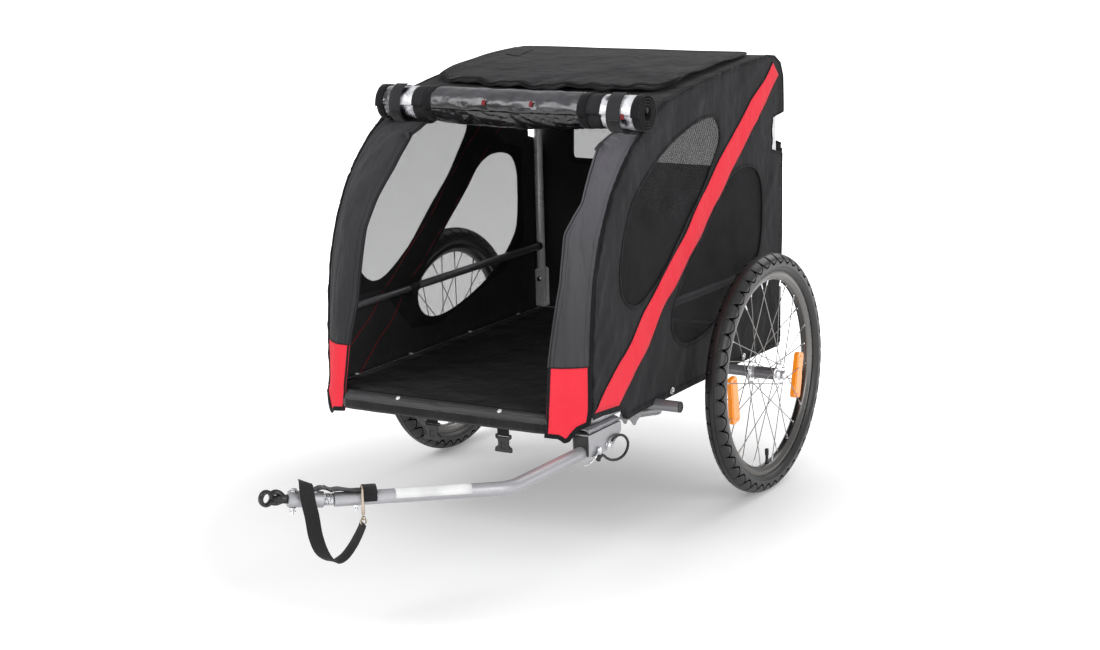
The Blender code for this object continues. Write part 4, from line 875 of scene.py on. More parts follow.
# The floor, the room and the lamps
def make_room():
    mesh = bpy.data.meshes.new("floor")
    mesh.from_pydata([(-25, -25, 0), (25, -25, 0), (25, 25, 0), (-25, 25, 0)], [], [(0, 1, 2, 3)])
    floor = bpy.data.objects.new("floor", mesh)
    scene.collection.objects.link(floor)
    look = bpy.data.materials.new("floor")
    look.use_nodes = True
    g = Graph(look.node_tree)
    g.tree.nodes.remove(g.shader)
    plain, pale = (g.node("ShaderNodeBsdfDiffuse", Color=(c, c, c, 1)).outputs[0] for c in (0.8, 0.92))
    # The floor is lit only near the trailer, so it shines more further out
    away = g.node("ShaderNodeVectorMath", {0: g.place()}, operation="LENGTH").outputs["Value"]
    glow = g.node("ShaderNodeEmission", {"Strength": g.map(away, 0.55, 1.7, 0.17, 1.06)})
    both = g.node("ShaderNodeAddShader", {0: pale, 1: glow.outputs[0]})
    rays = g.node("ShaderNodeLightPath").outputs
    seen = g.math("MAXIMUM", rays["Is Glossy Ray"], rays["Is Transmission Ray"])
    seen = g.math("MAXIMUM", rays["Is Camera Ray"], seen)
    mix = g.node("ShaderNodeMixShader", {0: seen, 1: plain, 2: both.outputs[0]})
    g.tree.links.new(mix.outputs[0], g.tree.nodes["Material Output"].inputs["Surface"])
    mesh.materials.append(look)

    world = bpy.data.worlds.new("room")
    scene.world = world
    world.use_nodes = True
    g = Graph(world.node_tree)
    back = g.tree.nodes["Background"]
    back.inputs["Color"].default_value = (0.985, 0.99, 1.0, 1)
    rays = g.node("ShaderNodeLightPath").outputs
    seen = g.math("MAXIMUM", rays["Is Camera Ray"], rays["Is Transmission Ray"])
    g.tree.links.new(g.map(seen, 0.0, 1.0, 0.58, 1.0), back.inputs["Strength"])
    scene.view_settings.view_transform = "Standard"

    for name, place, aim, size, power in (
            ("key", (-1.8, -3.4, 3.2), (0, 0, 0.4), 2.2, 84), ("fill", (4.2, -1.6, 2.0), (0, 0, 0.4), 2.4, 74),
            ("back", (0.5, 3.6, 2.8), (0, 0, 0.5), 2.4, 40)):
        data = bpy.data.lights.new(name, "AREA")
        data.size = size
        data.energy = power
        lamp = bpy.data.objects.new(name, data)
        scene.collection.objects.link(lamp)
        lamp.location = place
        lamp.rotation_euler = (Vector(aim) - Vector(place)).to_track_quat("-Z", "Y").to_euler()


make_room()


# Floor frame and the cabin's tubes
def make_frame():
    stub_y = FRONT_Y + CORNER_R + 0.0083 - GAP
    corners = [(-RAIL_X, stub_y, RAIL_Z), (-RAIL_X, FRONT_Y, RAIL_Z), (RAIL_X, FRONT_Y, RAIL_Z),
               (RAIL_X, stub_y, RAIL_Z)]
    front = tube(filleted(corners, CORNER_R), FRAME_R, 32)
    piece("front_tube", front, SILVER, ("front_cross_tube",))
    for side in SIDES:
        low, high = box(side + "_side_rail")
        rail = tube([((low.x + high.x) / 2, y, RAIL_Z) for y in (low.y, 0, high.y)], FRAME_R, 32)
        piece(side + "_rail", rail, SILVER, (side + "_side_rail",))
    low, high = box("rear_cross_tube")
    rear = tube([(x, REAR_Y, RAIL_Z) for x in (low.x, 0, high.x)], FRAME_R, 32)
    piece("rear_tube", rear, SILVER, ("rear_cross_tube",))
    low, high = box("mid_cross_tube")
    end = high.x - 0.001
    z = (low.z + high.z) / 2
    middle = tube([(x, MID_Y, z) for x in (low.x + 0.001, 0, end)], CROSS_R, 28)
    piece("middle_tube", middle, GREY, ("mid_cross_tube",))
    plug = [(0.008, -0.012), (0.008, 0), (0.0104, 0.0), (0.011, 0.0006), (0.0108, 0.0018), (0.009, 0.0026),
            (0.0, 0.0029)]
    for side, sign in SIDES.items():
        cap = lathe(plug, (sign * (end - 0.001), MID_Y, z), (sign, 0, 0), 28)
        piece(side + "_stub_plug", cap, PLASTIC)
    low, high = box("axle_tube")
    beam = tube([(x, 0, z) for x in (low.x, 0, high.x)], CROSS_R, 28)
    piece("axle_beam", beam, GREY, ("axle_tube",))


def hoop_path():
    depth = SKIN_T + GAP + HOOP_R
    foot_z = FRAME_TOP + GAP
    inner = inset(FRONT_EDGE + ROOF_EDGE[1:] + REAR_EDGE[:2], depth)
    rail_end = REAR_Y - HOOP_R - GAP
    foot_y = between(sorted((z, y) for y, z in inner[:6]), foot_z + 0.012)
    path = [(foot_y, foot_z), (foot_y, foot_z + 0.012)]
    path += [p for p in inner if p[1] > foot_z + 0.02 and p[0] < rail_end - 0.01]
    path.append((rail_end, between(inner[-6:], rail_end)))
    return path


def make_hoops():
    fine = curved(hoop_path(), 4)
    for side, sign in SIDES.items():
        x = sign * HOOP_X
        hoop = tube([(x, p.x, p.y) for p in fine], HOOP_R, 28)
        piece(side + "_hoop_tube", hoop, GREY, (side + "_hoop",))
        low, high = box(side + "_rear_post")
        post = tube([(x, REAR_Y, z) for z in (low.z, 0.5, high.z)], HOOP_R, 28)
        piece(side + "_post", post, GREY_PAINTED_LIT, (side + "_rear_post",))
        low, high = box(side + "_side_bar")
        x = (low.x + high.x) / 2
        z = SIDE_BAR_Z
        bar = tube([(x, y, z) for y in (low.y, -0.4, SLIDE_END_Y + 0.004)], 0.0065, 24)
        bar.join(tube([(x, y, z) for y in (SLIDE_END_Y, 0, high.y)], 0.008, 24))
        piece(side + "_bar", bar, GREY, (side + "_side_bar",))
        collar = lathe([(0.0066, -0.016), (0.0083, -0.016), (0.0092, -0.014), (0.0096, -0.003), (0.0099, 0.0),
                        (0.0099, 0.01), (0.0094, 0.0125), (0.0081, 0.013), (0.0081, 0.0)],
                       (x, SLIDE_END_Y, z), (0, 1, 0), 28)
        collar.join(block((0.0045, 0.012, 0.006), at(x, SLIDE_END_Y + 0.002, z - 0.0112), 0.0012))
        collar.join(lathe([(0.0081, 0), (0.009, 0.0006), (0.0092, 0.01), (0.0088, 0.012), (0.0081, 0.0125)],
                          (x, high.y - 0.0135, z), (0, 1, 0), 28))
        piece(side + "_bar_collar", collar, PLASTIC)
    for name in ("front", "rear"):
        low, high = box(name + "_roof_bar")
        bar = tube([(x, (low.y + high.y) / 2, (low.z + high.z) / 2) for x in (low.x, 0, high.x)], 0.008, 24)
        piece(name + "_top_bar", bar, GREY, (name + "_roof_bar",))


def make_post_brackets():
    bolt_high = 0.0633
    holes = [circle(0, bolt_high, 0.0031), circle(0, 0.0785, 0.0022)]
    for side in SIDES:
        low, high = box(side + "_post_bracket")
        wide, deep, tall = high - low
        mid = (low + high) / 2
        shape = block((wide, deep, 0.0021), at(mid.x, mid.y, low.z + 0.00105), 0.0005)
        right_half = [(wide / 2, 0.0004), (wide / 2, tall - 0.004), (wide / 2 - 0.005, tall)]
        cheek = rounded([(-wide / 2, 0.0004)] + right_half + [(-u, v) for u, v in right_half[:0:-1]], 0.004)
        for y in (low.y + 0.001, high.y - 0.001):
            shape.join(slab(cheek, 0.002, at(mid.x, y, low.z) @ FRONT_PLANE, holes, 0.0004))
        piece(side + "_bracket", shape, GREY_PAINTED_LIT, (side + "_post_bracket",))
        z = low.z + bolt_high
        bolt = washer((mid.x, low.y, z), (0, -1, 0), 0.0058, 0.002, 0.0009)
        bolt.join(hexagon((mid.x, low.y - 0.0009, z), (0, -1, 0), 0.0085, 0.0036),
                  dome((mid.x, high.y, z), (0, 1, 0), 0.0052, 0.003))
        for x in (-0.0065, 0.0065):
            bolt.join(dome((mid.x + x, mid.y, low.z + 0.0021), (0, 0, 1), 0.0026, 0.0012, 16))
        piece(side + "_bracket_bolts", bolt, ZINC)


# The cabin's side cloths
def hem():
    """The lower edge from the rear to the front, cut round the two tubes that pass through it."""
    radius = 0.0128
    points = []
    for middle in reversed(HEM_CUTS):
        points.append((middle + 0.015, HEM_Z))
        points += [(middle + radius * cos(radians(a)), AXLE_Z + radius * sin(radians(a)))
                   for a in range(14, 170, 19)]
        points.append((middle - 0.015, HEM_Z))
    return points + [(-0.35, 0.247), (-0.4, 0.245), (-0.429, 0.243), (-0.444, 0.248), (-0.453, 0.266), (-0.5, 0.27)]


# The side cloth is cut back here, so that the post shows
NOTCH = [(0.269, 0.744), (0.214, 0.738), (0.211, 0.67), (0.264, 0.656)]


def side_outline():
    rear = REAR_EDGE[:4] + NOTCH + REAR_EDGE[4:]
    return FRONT_EDGE + ROOF_EDGE[1:] + rear + [(0.24, 0.243), (0.16, 0.248), (0.1, 0.248)] + hem()


def crease(u, v, start, end, width, depth):
    """A soft ridge along a line between two places, fading out to its ends."""
    a, b = Vector(start), Vector(end)
    way = b - a
    t = clamp((Vector((u, v)) - a).dot(way) / way.length_squared)
    off = (Vector((u, v)) - a - way * t).length / width
    return depth * exp(-off * off) * sin(pi * (0.12 + 0.76 * t))


# Soft folds of the side cloth: from, to, width and height, as (y, z)
SIDE_FOLDS = [
    ((-0.56, 0.33), (-0.47, 0.42), 0.01, 0.0024), ((-0.553, 0.4), (-0.48, 0.47), 0.008, 0.002),
    ((-0.546, 0.45), (-0.5, 0.56), 0.009, 0.0026), ((-0.43, 0.25), (-0.38, 0.33), 0.012, 0.0024),
    ((-0.36, 0.25), (-0.29, 0.36), 0.014, 0.002), ((-0.25, 0.262), (-0.2, 0.33), 0.01, 0.0022),
    ((-0.24, 0.262), (-0.27, 0.32), 0.009, 0.0018), ((0.04, 0.35), (0.2, 0.3), 0.016, 0.0022),
    ((0.1, 0.4), (0.23, 0.33), 0.012, 0.002), ((0.18, 0.56), (0.24, 0.64), 0.012, 0.0024),
    ((0.12, 0.7), (0.215, 0.69), 0.01, 0.0022), ((0.13, 0.74), (0.215, 0.73), 0.008, 0.0018),
    ((-0.38, 0.74), (-0.25, 0.79), 0.01, 0.002), ((-0.2, 0.79), (0.02, 0.84), 0.013, 0.0018),
    ((-0.46, 0.64), (-0.4, 0.7), 0.009, 0.002), ((0.02, 0.8), (0.14, 0.845), 0.012, 0.002),
]
FRONT_LINE = [(z, y) for y, z in FRONT_EDGE]


def side_depth(y, z, sign):
    """How far the side cloth stands out at a place: it lies slack between the tubes behind it."""
    wave = 0.0015 * smooth_noise(y * 6, z * 6, sign * 3.0) + 0.0006 * smooth_noise(y * 22, z * 22, 5.0 * sign)
    wave += 1.7 * sum(crease(y, z, *fold) for fold in SIDE_FOLDS)
    run = abs(y - between(FRONT_LINE, z))
    wave += 0.0032 * exp(-(run / 0.026) ** 2) * smooth_noise(z * 42, run * 20, sign * 8.0)
    return wave + 0.0004


def loop_on_side(loop, sign, lift):
    """A flat loop laid on a side cloth, and lifted off it."""
    return [Vector((sign * (SKIN_X + lift + side_depth(p[0], p[1], sign)), p[0], p[1])) for p in loop]


def flat_curve(points, steps, closed=False):
    """A smooth path through flat points, as pairs."""
    return [(p.x, p.y) for p in curved(points, steps, closed)]


def ragged(points, seed):
    """A red stripe's edge, which waves a little."""
    return [(y, z + 0.0125 * smooth_noise(y * 13, seed) + 0.0018 * smooth_noise(y * 40, seed))
            for y, z in flat_curve(points, 6)]


def make_side_cloths():
    windows = [flat_curve(w, 3, True) for w in (FRONT_WINDOW, REAR_WINDOW)]
    upper = ragged(BAND_UPPER[:-1] + [(-0.559, 0.2835)], 2.0)
    lower = ragged([(-0.462, 0.2775)] + BAND_LOWER[1:], 7.0)
    cloth_area = abs(shoelace(side_outline())) - sum(abs(shoelace(w)) for w in windows)
    flats = [cut_panel(outline, holes, lambda u, v: (0, u, v), spacing) for outline, holes, spacing in (
        (side_outline(), windows, 0.01), (WINDOW_NET, [], 0.024), (upper + lower, [], 0.01))]
    # The hem's points, without the cuts round the tubes
    low_points = [(y, z) for y, z in hem() if z < 0.2475 or z > 0.262]
    for side, sign in SIDES.items():
        trim, thread, inner, eyelet = Shape(), Shape(), Shape(), Shape()

        def put(flat_shape, lift):
            x = SKIN_X - SKIN_T / 2 + lift
            verts = [(sign * (x + side_depth(v.y, v.z, sign)), v.y, v.z) for v in flat_shape.verts]
            return Shape().add(verts, flat_shape.faces, flat_shape.uvs)

        def lay(path, profile, lift, step=0.008, closed=False):
            line = loop_on_side(resample(path, step, closed), sign, lift)
            trim.join(sweep(line, profile, up=(sign, 0, 0), closed=closed))
            return line

        def sew(path, step, lift):
            thread.join(stitches(loop_on_side(resample(path, step, closed=False), sign, lift), (sign, 0, 0)))

        cloth = piece(side + "_side_cloth", put(flats[0], 0.0), CLOTH, (side + "_side_panel",),
                      thick=PANEL_T)
        net = piece(side + "_net", put(flats[1], -SKIN_T / 2 - 0.0008), NET, (side + "_window_mesh",))
        stripe = piece(side + "_red_stripe", put(flats[2], 0.0021), RED, (side + "_red_band",), thick=0.0009)
        for window in windows:
            lay(offset_loop(window, -0.0018), flat(0.0044, 0.0011), 0.0006, closed=True)
            lay(offset_loop(window, 0.0002), ring(0.0012, 8), 0.0002, closed=True)
            seam = resample(offset_loop(window, -0.006), 0.006)
            thread.join(stitches(loop_on_side(seam + seam[:1], sign, 0.0002), (sign, 0, 0)))
        for path in (upper, lower):
            line = lay(path, ring(0.0014, 8), 0.001)
            inner.join(sweep([p - Vector((sign * 0.0034, 0, 0)) for p in line], flat(0.0026, 0.0008),
                             up=(sign, 0, 0)))
        lay(side_outline(), ring(0.0018, 8), 0.0, closed=True)
        foot = [(y, z + (0.0062 if z > 0.262 else 0.0045)) for y, z in reversed(low_points)]
        lay([(-0.561, 0.2765)] + foot + [(0.244, 0.248)], flat(0.011, 0.0014), 0.0007, 0.007)
        lay([(y + 0.004, z) for y, z in FRONT_EDGE[:-1]], flat(0.008, 0.0014), 0.0007)
        lay([(y, z - 0.0034) for y, z in ROOF_EDGE], ring(0.0022, 8), 0.0004, 0.01)
        sew([(0.244, 0.26)] + [(y, z + 0.0125) for y, z in low_points[:-1]], 0.008, 0.0001)
        sew([(y + 0.0096, z) for y, z in FRONT_EDGE[1:-1]], 0.008, 0.0001)
        piece(side + "_side_piping", trim, BINDING)
        piece(side + "_side_stitches", thread, THREAD)
        piece(side + "_band_seams", inner, RED_THREAD)
        for y in (-0.253, 0.066):
            middle = Vector((sign * (SKIN_X + 0.0026), y, 0.257))
            eyelet.join(lathe([(0.003, 0), (0.0066, 0), (0.0072, 0.0008), (0.0066, 0.0022), (0.0046, 0.0028),
                               (0.0032, 0.0018)],
                              middle, (sign, 0, -0.15), 28, closed=True))
            eyelet.join(dome(middle - Vector((sign * 0.001, 0, 0)), (sign, 0, 0), 0.0034, 0.0016, 16))
        piece(side + "_hem_eyelets", eyelet, ZINC)


# Front corner cloths, slanted in to the doorway
def corner_lines():
    """The cloth's edge at the side, the ways it leans out, and how far it does."""
    edge = [(-0.57, 0.26)] + FRONT_EDGE[:-2] + [(-0.372, 0.762), (-0.356, 0.7705), (-0.34, 0.779)]
    fine = [(p.x, p.y) for p in resample(flat_curve(edge, 5), 0.0075, closed=False)]
    outs = [Vector((b[0] - a[0], b[1] - a[1])).normalized() for a, b in zip(fine, inset(fine, -1.0))]
    fade = [(0.2, 1.0), (0.728, 1.0), (0.75, 0.62), (0.762, 0.4), (0.7705, 0.12), (0.779, 0.0), (0.9, 0.0)]
    return fine, outs, [between(fade, z) for _, z in fine]


CORNER_LINES = corner_lines()

# Soft folds of the corner cloths: from, to, width and height, as (share of the way in, height)
CORNER_FOLDS = {
    "left": [
        ((0.1, 0.3), (0.3, 0.52), 0.03, 0.003), ((0.45, 0.38), (0.62, 0.6), 0.035, 0.0034),
        ((0.2, 0.56), (0.75, 0.64), 0.022, -0.004), ((0.15, 0.6), (0.6, 0.69), 0.02, 0.0036),
        ((0.75, 0.4), (0.8, 0.56), 0.03, -0.0024), ((0.1, 0.66), (0.4, 0.74), 0.02, 0.0026),
    ],
    "right": [
        ((0.42, 0.648), (0.88, 0.668), 0.014, 0.0042), ((0.45, 0.632), (0.7, 0.616), 0.012, 0.0034),
        ((0.66, 0.64), (0.86, 0.606), 0.011, -0.0036), ((0.4, 0.69), (0.95, 0.745), 0.02, 0.0026),
        ((0.3, 0.6), (0.55, 0.56), 0.022, 0.0022), ((0.3, 0.4), (0.55, 0.5), 0.04, 0.0024),
    ],
}


def corner_point(side, index, share, lift=0.0):
    """A place on a corner cloth: index runs up its edges and share from the side in to the doorway."""
    fine, outs, reach = CORNER_LINES
    y, z = fine[index]
    out = outs[index]
    sign = SIDES[side]
    start_x = SKIN_X - SKIN_T - CORNER_START[side]
    bow = sin(pi * share)
    rise = CORNER_DEPTH * share + CORNER_BULGE[side] * bow
    rise += bow * 0.0022 * smooth_noise(share * 2.2 + z * 3, z * 9 - share * 4, sign * 2.0)
    rise += bow * 0.0008 * smooth_noise(share * 5, z * 30 - share * 6, sign * 7.0)
    rise += 1.6 * bow * sum(crease(share * 0.1, z, (a[0] * 0.1, a[1]), (b[0] * 0.1, b[1]), width * 0.5, high)
                            for a, b, width, high in CORNER_FOLDS[side])
    rise += 0.0018 * exp(-(share / 0.16) ** 2) * share * 5 * smooth_noise(z * 40, share * 2, sign * 4.0)
    rise *= reach[index]
    height = z + out.y * rise
    # The lowest rows run down to the hem
    foot = 9
    if index < foot:
        hem_z = between(CORNER_HEM, share)
        height = hem_z + (fine[foot][1] + outs[foot].y * rise - hem_z) * index / foot
    x = start_x + (between(CORNER_INNER[side], z) - start_x) * share
    normal = Vector((sign * 0.45, out.x, out.y)).normalized()
    found = Vector((sign * x, y + out.x * rise, height)) + normal * lift
    # The cloth passes outside the roll
    off = Vector((0, found.y - ROLL_Y, found.z - ROLL_Z))
    turns = atan2(off.z, off.y) / (2 * pi) % 1
    keep = ROLL_R + ROLL_PITCH * (turns + (turns < 0.5) + 3 - ROLL_TURNS) + 0.0026
    if off.length < keep:
        found += off.normalized() * (keep - off.length)
    return found


def corner_facing(side, index, share):
    """The way that a corner cloth faces, outwards."""
    across = corner_point(side, index, clamp(share + 0.05)) - corner_point(side, index, clamp(share - 0.05))
    last = len(CORNER_LINES[0]) - 1
    up = corner_point(side, min(last, index + 1), share) - corner_point(side, max(0, index - 1), share)
    normal = across.cross(up).normalized()
    return normal if normal.y < 0 else -normal


def make_corner_cloths():
    fine = CORNER_LINES[0]
    count = len(fine)
    across = evenly(0, 1, 24)
    for side, sign in SIDES.items():
        split, pull_at = (next(i for i, (_, z) in enumerate(fine) if z > top)
                          for top in (CORNER_RED_TOP[side], 0.728))
        look = CLOTH_SHEEN if side == "left" else FAR_CORNER
        trim, thread, zip_line = Shape(), Shape(), Shape()

        def cloth_rows(first, last, lift=0.0):
            return grid([[corner_point(side, i, share, lift) for share in across] for i in range(first, last)])

        def up_line(share, first, last, lift):
            """A line up the cloth and the ways that it faces."""
            run = range(first, last)
            return [corner_point(side, i, share, lift) for i in run], [corner_facing(side, i, share) for i in run]

        def tape(share, first, last, width, lift, thick):
            path, ups = up_line(share, first, last, lift)
            return sweep(path, flat(width, thick), up=ups)

        cloth = piece(side + "_corner_cloth", cloth_rows(split - 1, count), look, (side + "_corner_panel",),
                      thick=PANEL_T)
        low = piece(side + "_corner_red", cloth_rows(0, split + 1, 0.0006), RED, thick=0.0018)
        for share in (0.965, 0.04):
            trim.join(tape(share, 0, split + 1, 0.005, 0.0014, 0.0022))
        trim.join(sweep([corner_point(side, i, 1.0) for i in range(count)], ring(0.0014, 8)))
        # A loose dark cord along the seam with the side cloth: real piping, drawn thick so that it also stands for
        # the shade in the puckered seam (painted shade).
        loose = [corner_point(side, i, 0.008 * smooth_noise(i * 0.9, 5.0),
                              0.0008 + 0.0022 * smooth_noise(i * 0.7, 3.0)) for i in range(count)]
        trim.join(sweep(loose, ring(0.0034, 8)))
        shares = evenly(0, 1, 60)
        foot = [corner_point(side, 0, share, 0.001) + Vector((0, 0, 0.0036)) for share in shares]
        trim.join(sweep(foot, flat(0.0086, 0.003), up=[corner_facing(side, 0, share) for share in shares]))
        trim.join(sweep([corner_point(side, split, share, 0.0016) for share in across], ring(0.001, 8)))
        piece(side + "_corner_edging", tape(0.95, split, count, 0.01, 0.001, 0.0012), look)
        coil = resample(up_line(0.975, split, count, 0.002)[0], 0.0026, closed=False)
        for a, b in zip(coil, coil[1:]):
            zip_line.join(sweep([a, a.lerp(b, 0.6)], ring(0.0011, 6), scales=[1.0, 0.8]))
        for share in (0.86, 0.13):
            thread.join(stitches(*up_line(share, split, count, 0.001)))
        way = corner_point(side, pull_at + 1, 0.94) - corner_point(side, pull_at, 0.94)
        stand = facing(corner_point(side, pull_at, 0.94, 0.004), corner_facing(side, pull_at, 0.94), up=way)
        slider = rounded([(-0.0035, -0.006), (0.0035, -0.006), (0.0045, 0.005), (-0.0045, 0.005)], 0.002)
        tongue = rounded([(-0.003, -0.026), (0.003, -0.026), (0.0036, -0.004), (-0.0036, -0.004)], 0.002)
        leaning = stand @ Matrix.Rotation(radians(34 if sign < 0 else 0), 4, "Z") @ at(0, 0, 0.0032)
        pull = slab(slider, 0.0034, stand, bevel=0.0006)
        pull.join(slab(tongue, 0.0016, leaning, [circle(0, -0.021, 0.0014, 12)], 0.0004))
        piece(side + "_corner_piping", trim, BINDING)
        piece(side + "_corner_zip", zip_line, BINDING)
        piece(side + "_corner_stitches", thread, THREAD)
        piece(side + "_zip_pull", pull, PLASTIC)


# Roof, back and flap
def roof_height(y):
    return between(ROOF_EDGE + REAR_EDGE[:1], y)


def make_roof():
    half = SKIN_X - SKIN_T - GAP
    rows = []
    for y, z in flat_curve(ROOF_EDGE + REAR_EDGE[:1], 4):
        drop = 0.003 * clamp((y + 0.34) * 8)
        xs = evenly(-half, half, 32)
        rows.append([(x, y, z - SKIN_T / 2 - drop * (1 - (x / half) ** 2) + 0.001 * smooth_noise(x * 9, y * 9, 4))
                     for x in xs])
    roof = piece("roof_cloth", grid(rows), CLOTH, ("roof_panel",), thick=PANEL_T)

    # The back is drawn by how far its places are down from the roof's edge
    first = tuple(Vector(REAR_EDGE[0]).lerp(Vector(REAR_EDGE[1]), 0.06))
    back = curved([first] + REAR_EDGE[1:] + [(0.25, HEM_Z + 0.004)], 6)
    runs = [0.0]
    for a, b in zip(back, back[1:]):
        runs.append(runs[-1] + (b - a).length)
    end = runs[-1]
    line_y = [(run, p.x) for run, p in zip(runs, back)]
    line_z = [(run, p.y) for run, p in zip(runs, back)]

    def spread(lift):
        return lambda u, v: (u, between(line_y, v) - lift + 0.0016 * smooth_noise(u * 7, v * 7, 9),
                             between(line_z, v))

    def lay(places, lift=0.0):
        return [Vector(spread(lift)(*place)) for place in places]

    def run_at(z):
        return between(sorted((high, run) for run, high in line_z if run > 0.03), z)

    wide, low, high = BACK_WINDOW
    hole = rounded([(x, run_at(z)) for x, z in ((-wide, high), (wide, high), (wide, low), (-wide, low))], 0.012, 5)
    cuts = [(half, run_at(0.744)), (0.276, run_at(0.742)), (0.277, run_at(0.683)), (half, run_at(0.676))]
    outline = [(-half, 0), (half, 0)] + cuts + [(half, end), (-half, end)]
    rear_shape = cut_panel(outline, [hole], spread(SKIN_T / 2), 0.016)
    rear = piece("rear_cloth", rear_shape, CLOTH, ("rear_panel",), thick=PANEL_T)
    net_hole = [tuple(p) for p in offset_loop(hole, -0.012)]
    net_shape = cut_panel(net_hole, [], spread(SKIN_T + 0.0012), 0.03)
    net = piece("rear_net", net_shape, NET, ("rear_window_mesh",))
    trim, thread = Shape(), Shape()
    for out, profile in ((-0.004, flat(0.009, 0.0012)), (0.0006, ring(0.0013, 8))):
        loop = resample(offset_loop(hole, out), 0.01)
        trim.join(sweep(lay(loop, -0.0002), profile, up=(0, 1, 0), closed=True))
    thread.join(stitches(lay(resample(offset_loop(hole, -0.0065), 0.006), -0.001), (0, 1, 0)))
    edge = half + 0.0008
    upper, lower = [r for r in runs if r < cuts[0][1]], [r for r in runs if r > cuts[3][1]]
    for x, rows_of in ((edge, upper), (edge, lower), (-edge, runs)):
        trim.join(sweep(lay([(x, r) for r in rows_of]), ring(0.002, 8)))
    trim.join(sweep(resample(lay(cuts), 0.01, closed=False), ring(0.0022, 8)))
    bottom = lay([(x, end) for x in evenly(-half, half, 40)])
    trim.join(sweep(bottom, flat(0.01, 0.0032), up=(0, 1, 0)))
    for v in (end - 0.013, 0.035):
        thread.join(stitches(lay([(x, v) for x in evenly(-half, half, 60)], -0.0002), (0, 1, 0)))
    piece("rear_piping", trim, BINDING)
    piece("rear_stitches", thread, THREAD)


FLAP = [
    (-0.31, 0.205), (-0.23, 0.2), (-0.1, 0.196), (0.0, 0.195), (0.15, 0.194), (0.24, 0.191),
    (0.264, 0.16), (0.271, 0.08), (0.274, 0.017), (0.271, -0.04), (0.27, -0.093), (0.266, -0.14),
    (0.258, -0.183), (0.225, -0.206), (0.174, -0.212), (0.112, -0.209), (0.06, -0.214), (0.013, -0.218),
    (-0.064, -0.214), (-0.11, -0.208), (-0.156, -0.203), (-0.219, -0.196), (-0.262, -0.172), (-0.284, -0.15),
    (-0.292, -0.08), (-0.296, 0.0), (-0.3, 0.11),
]


# Soft folds of the loose flap: from, to, width and height
FLAP_FOLDS = [
    ((0.02, 0.15), (0.13, -0.12), 0.012, 0.003), ((0.13, 0.12), (0.2, -0.08), 0.01, 0.0036),
    ((0.21, 0.16), (0.262, 0.02), 0.009, 0.004), ((0.15, 0.06), (0.19, -0.15), 0.01, -0.0024),
    ((0.06, 0.06), (0.09, -0.19), 0.011, 0.0026), ((-0.12, 0.1), (-0.09, -0.18), 0.014, 0.002),
    ((0.235, -0.03), (0.255, -0.16), 0.008, 0.0038), ((-0.24, 0.06), (-0.23, -0.15), 0.013, 0.0024),
]


def flap_height(x, y, lift=0.0):
    front = clamp((0.18 - y) / 0.38)
    near = clamp((x - 0.16) / 0.11)
    hem = max(0.0, (-0.13 - y) / 0.08)
    wave = 0.0024 * (1 + sin(x * 52 + y * 9)) * front * front + 0.0016 * sin(x * 118 + 1.0) * min(1.0, hem)
    wave += 0.0024 * smooth_noise(x * 11, y * 9, 3.3) * (0.3 + front)
    wave += 0.005 * near * near * (0.15 + 0.85 * front) * (1 + 0.6 * sin(y * 46))
    for start, end, width, high in FLAP_FOLDS:
        wave += crease(x, y, start, end, width, high)
    edge = max(0.0, abs(x) - 0.29)
    return roof_height(min(y, 0.22)) + 0.0042 + 0.004 * sin(pi * front) + wave - edge * 0.2 + lift


def make_flap():
    loop = flat_curve(FLAP, 3, True)

    def on_flap(places, lift=0.0):
        return [Vector((x, y, flap_height(x, y, lift))) for x, y in places]

    shape = cut_panel(loop, [], lambda u, v: (u, v, flap_height(u, v)), 0.009)
    flap = piece("roof_flap_cloth", shape, CLOTH, ("roof_flap",), thick=0.0015)
    trim = Shape()
    edge = resample(flat_curve(FLAP[11:23], 4), 0.006, closed=False)
    # The front hem is doubled: two layers that part a little in waves
    for lift, wave, out in ((0.0008, 0.0, 0.002), (0.0052, 0.0022, 0.0004)):
        path = [(p.x, p.y - out, flap_height(p.x, p.y, lift + wave * (1 + sin(p.x * 61)))) for p in edge]
        trim.join(sweep(path, flat(0.011, 0.0028), up=(0, -0.35, 1)))
    trim.join(sweep(on_flap(resample(loop, 0.008)), flat(0.0034, 0.0036), up=(0, 0, 1), closed=True))
    thread = stitches(on_flap(resample(offset_loop(loop, 0.014), 0.006), 0.0008), (0, 0, 1))
    corners = [(-0.229, 0.13), (-0.258, 0.138), (-0.243, 0.04), (-0.205, 0.03)]
    patch = cut_panel(rounded(corners, 0.003, 3), [], lambda u, v: (u, v, flap_height(u, v, 0.0014)), 0.006)
    piece("flap_hem", trim, BINDING, sharp=60)
    piece("flap_stitches", thread, THREAD)
    piece("flap_patch", patch, CLOTH, thick=0.0014)


# Front cover, rolled up: one sheet wound in a spiral, with trim at its ends, clear windows and a dark middle.
# Its parts across the trailer, as places on its front
ROLL_TRIMS = ((-0.281, -0.264), (-0.166, -0.149), (0.18, 0.199), (0.2955, 0.3125))
ROLL_BANDS = ((-0.195, -0.167), (0.1985, 0.2285))
ROLL_CLEAR = ((-0.2655, -0.1935), (0.227, 0.297))
ROLL_MIDDLE = (-0.151, 0.182)
ROLL_STRAPS = ((-0.2335, 0.026), (0.2585, 0.029))


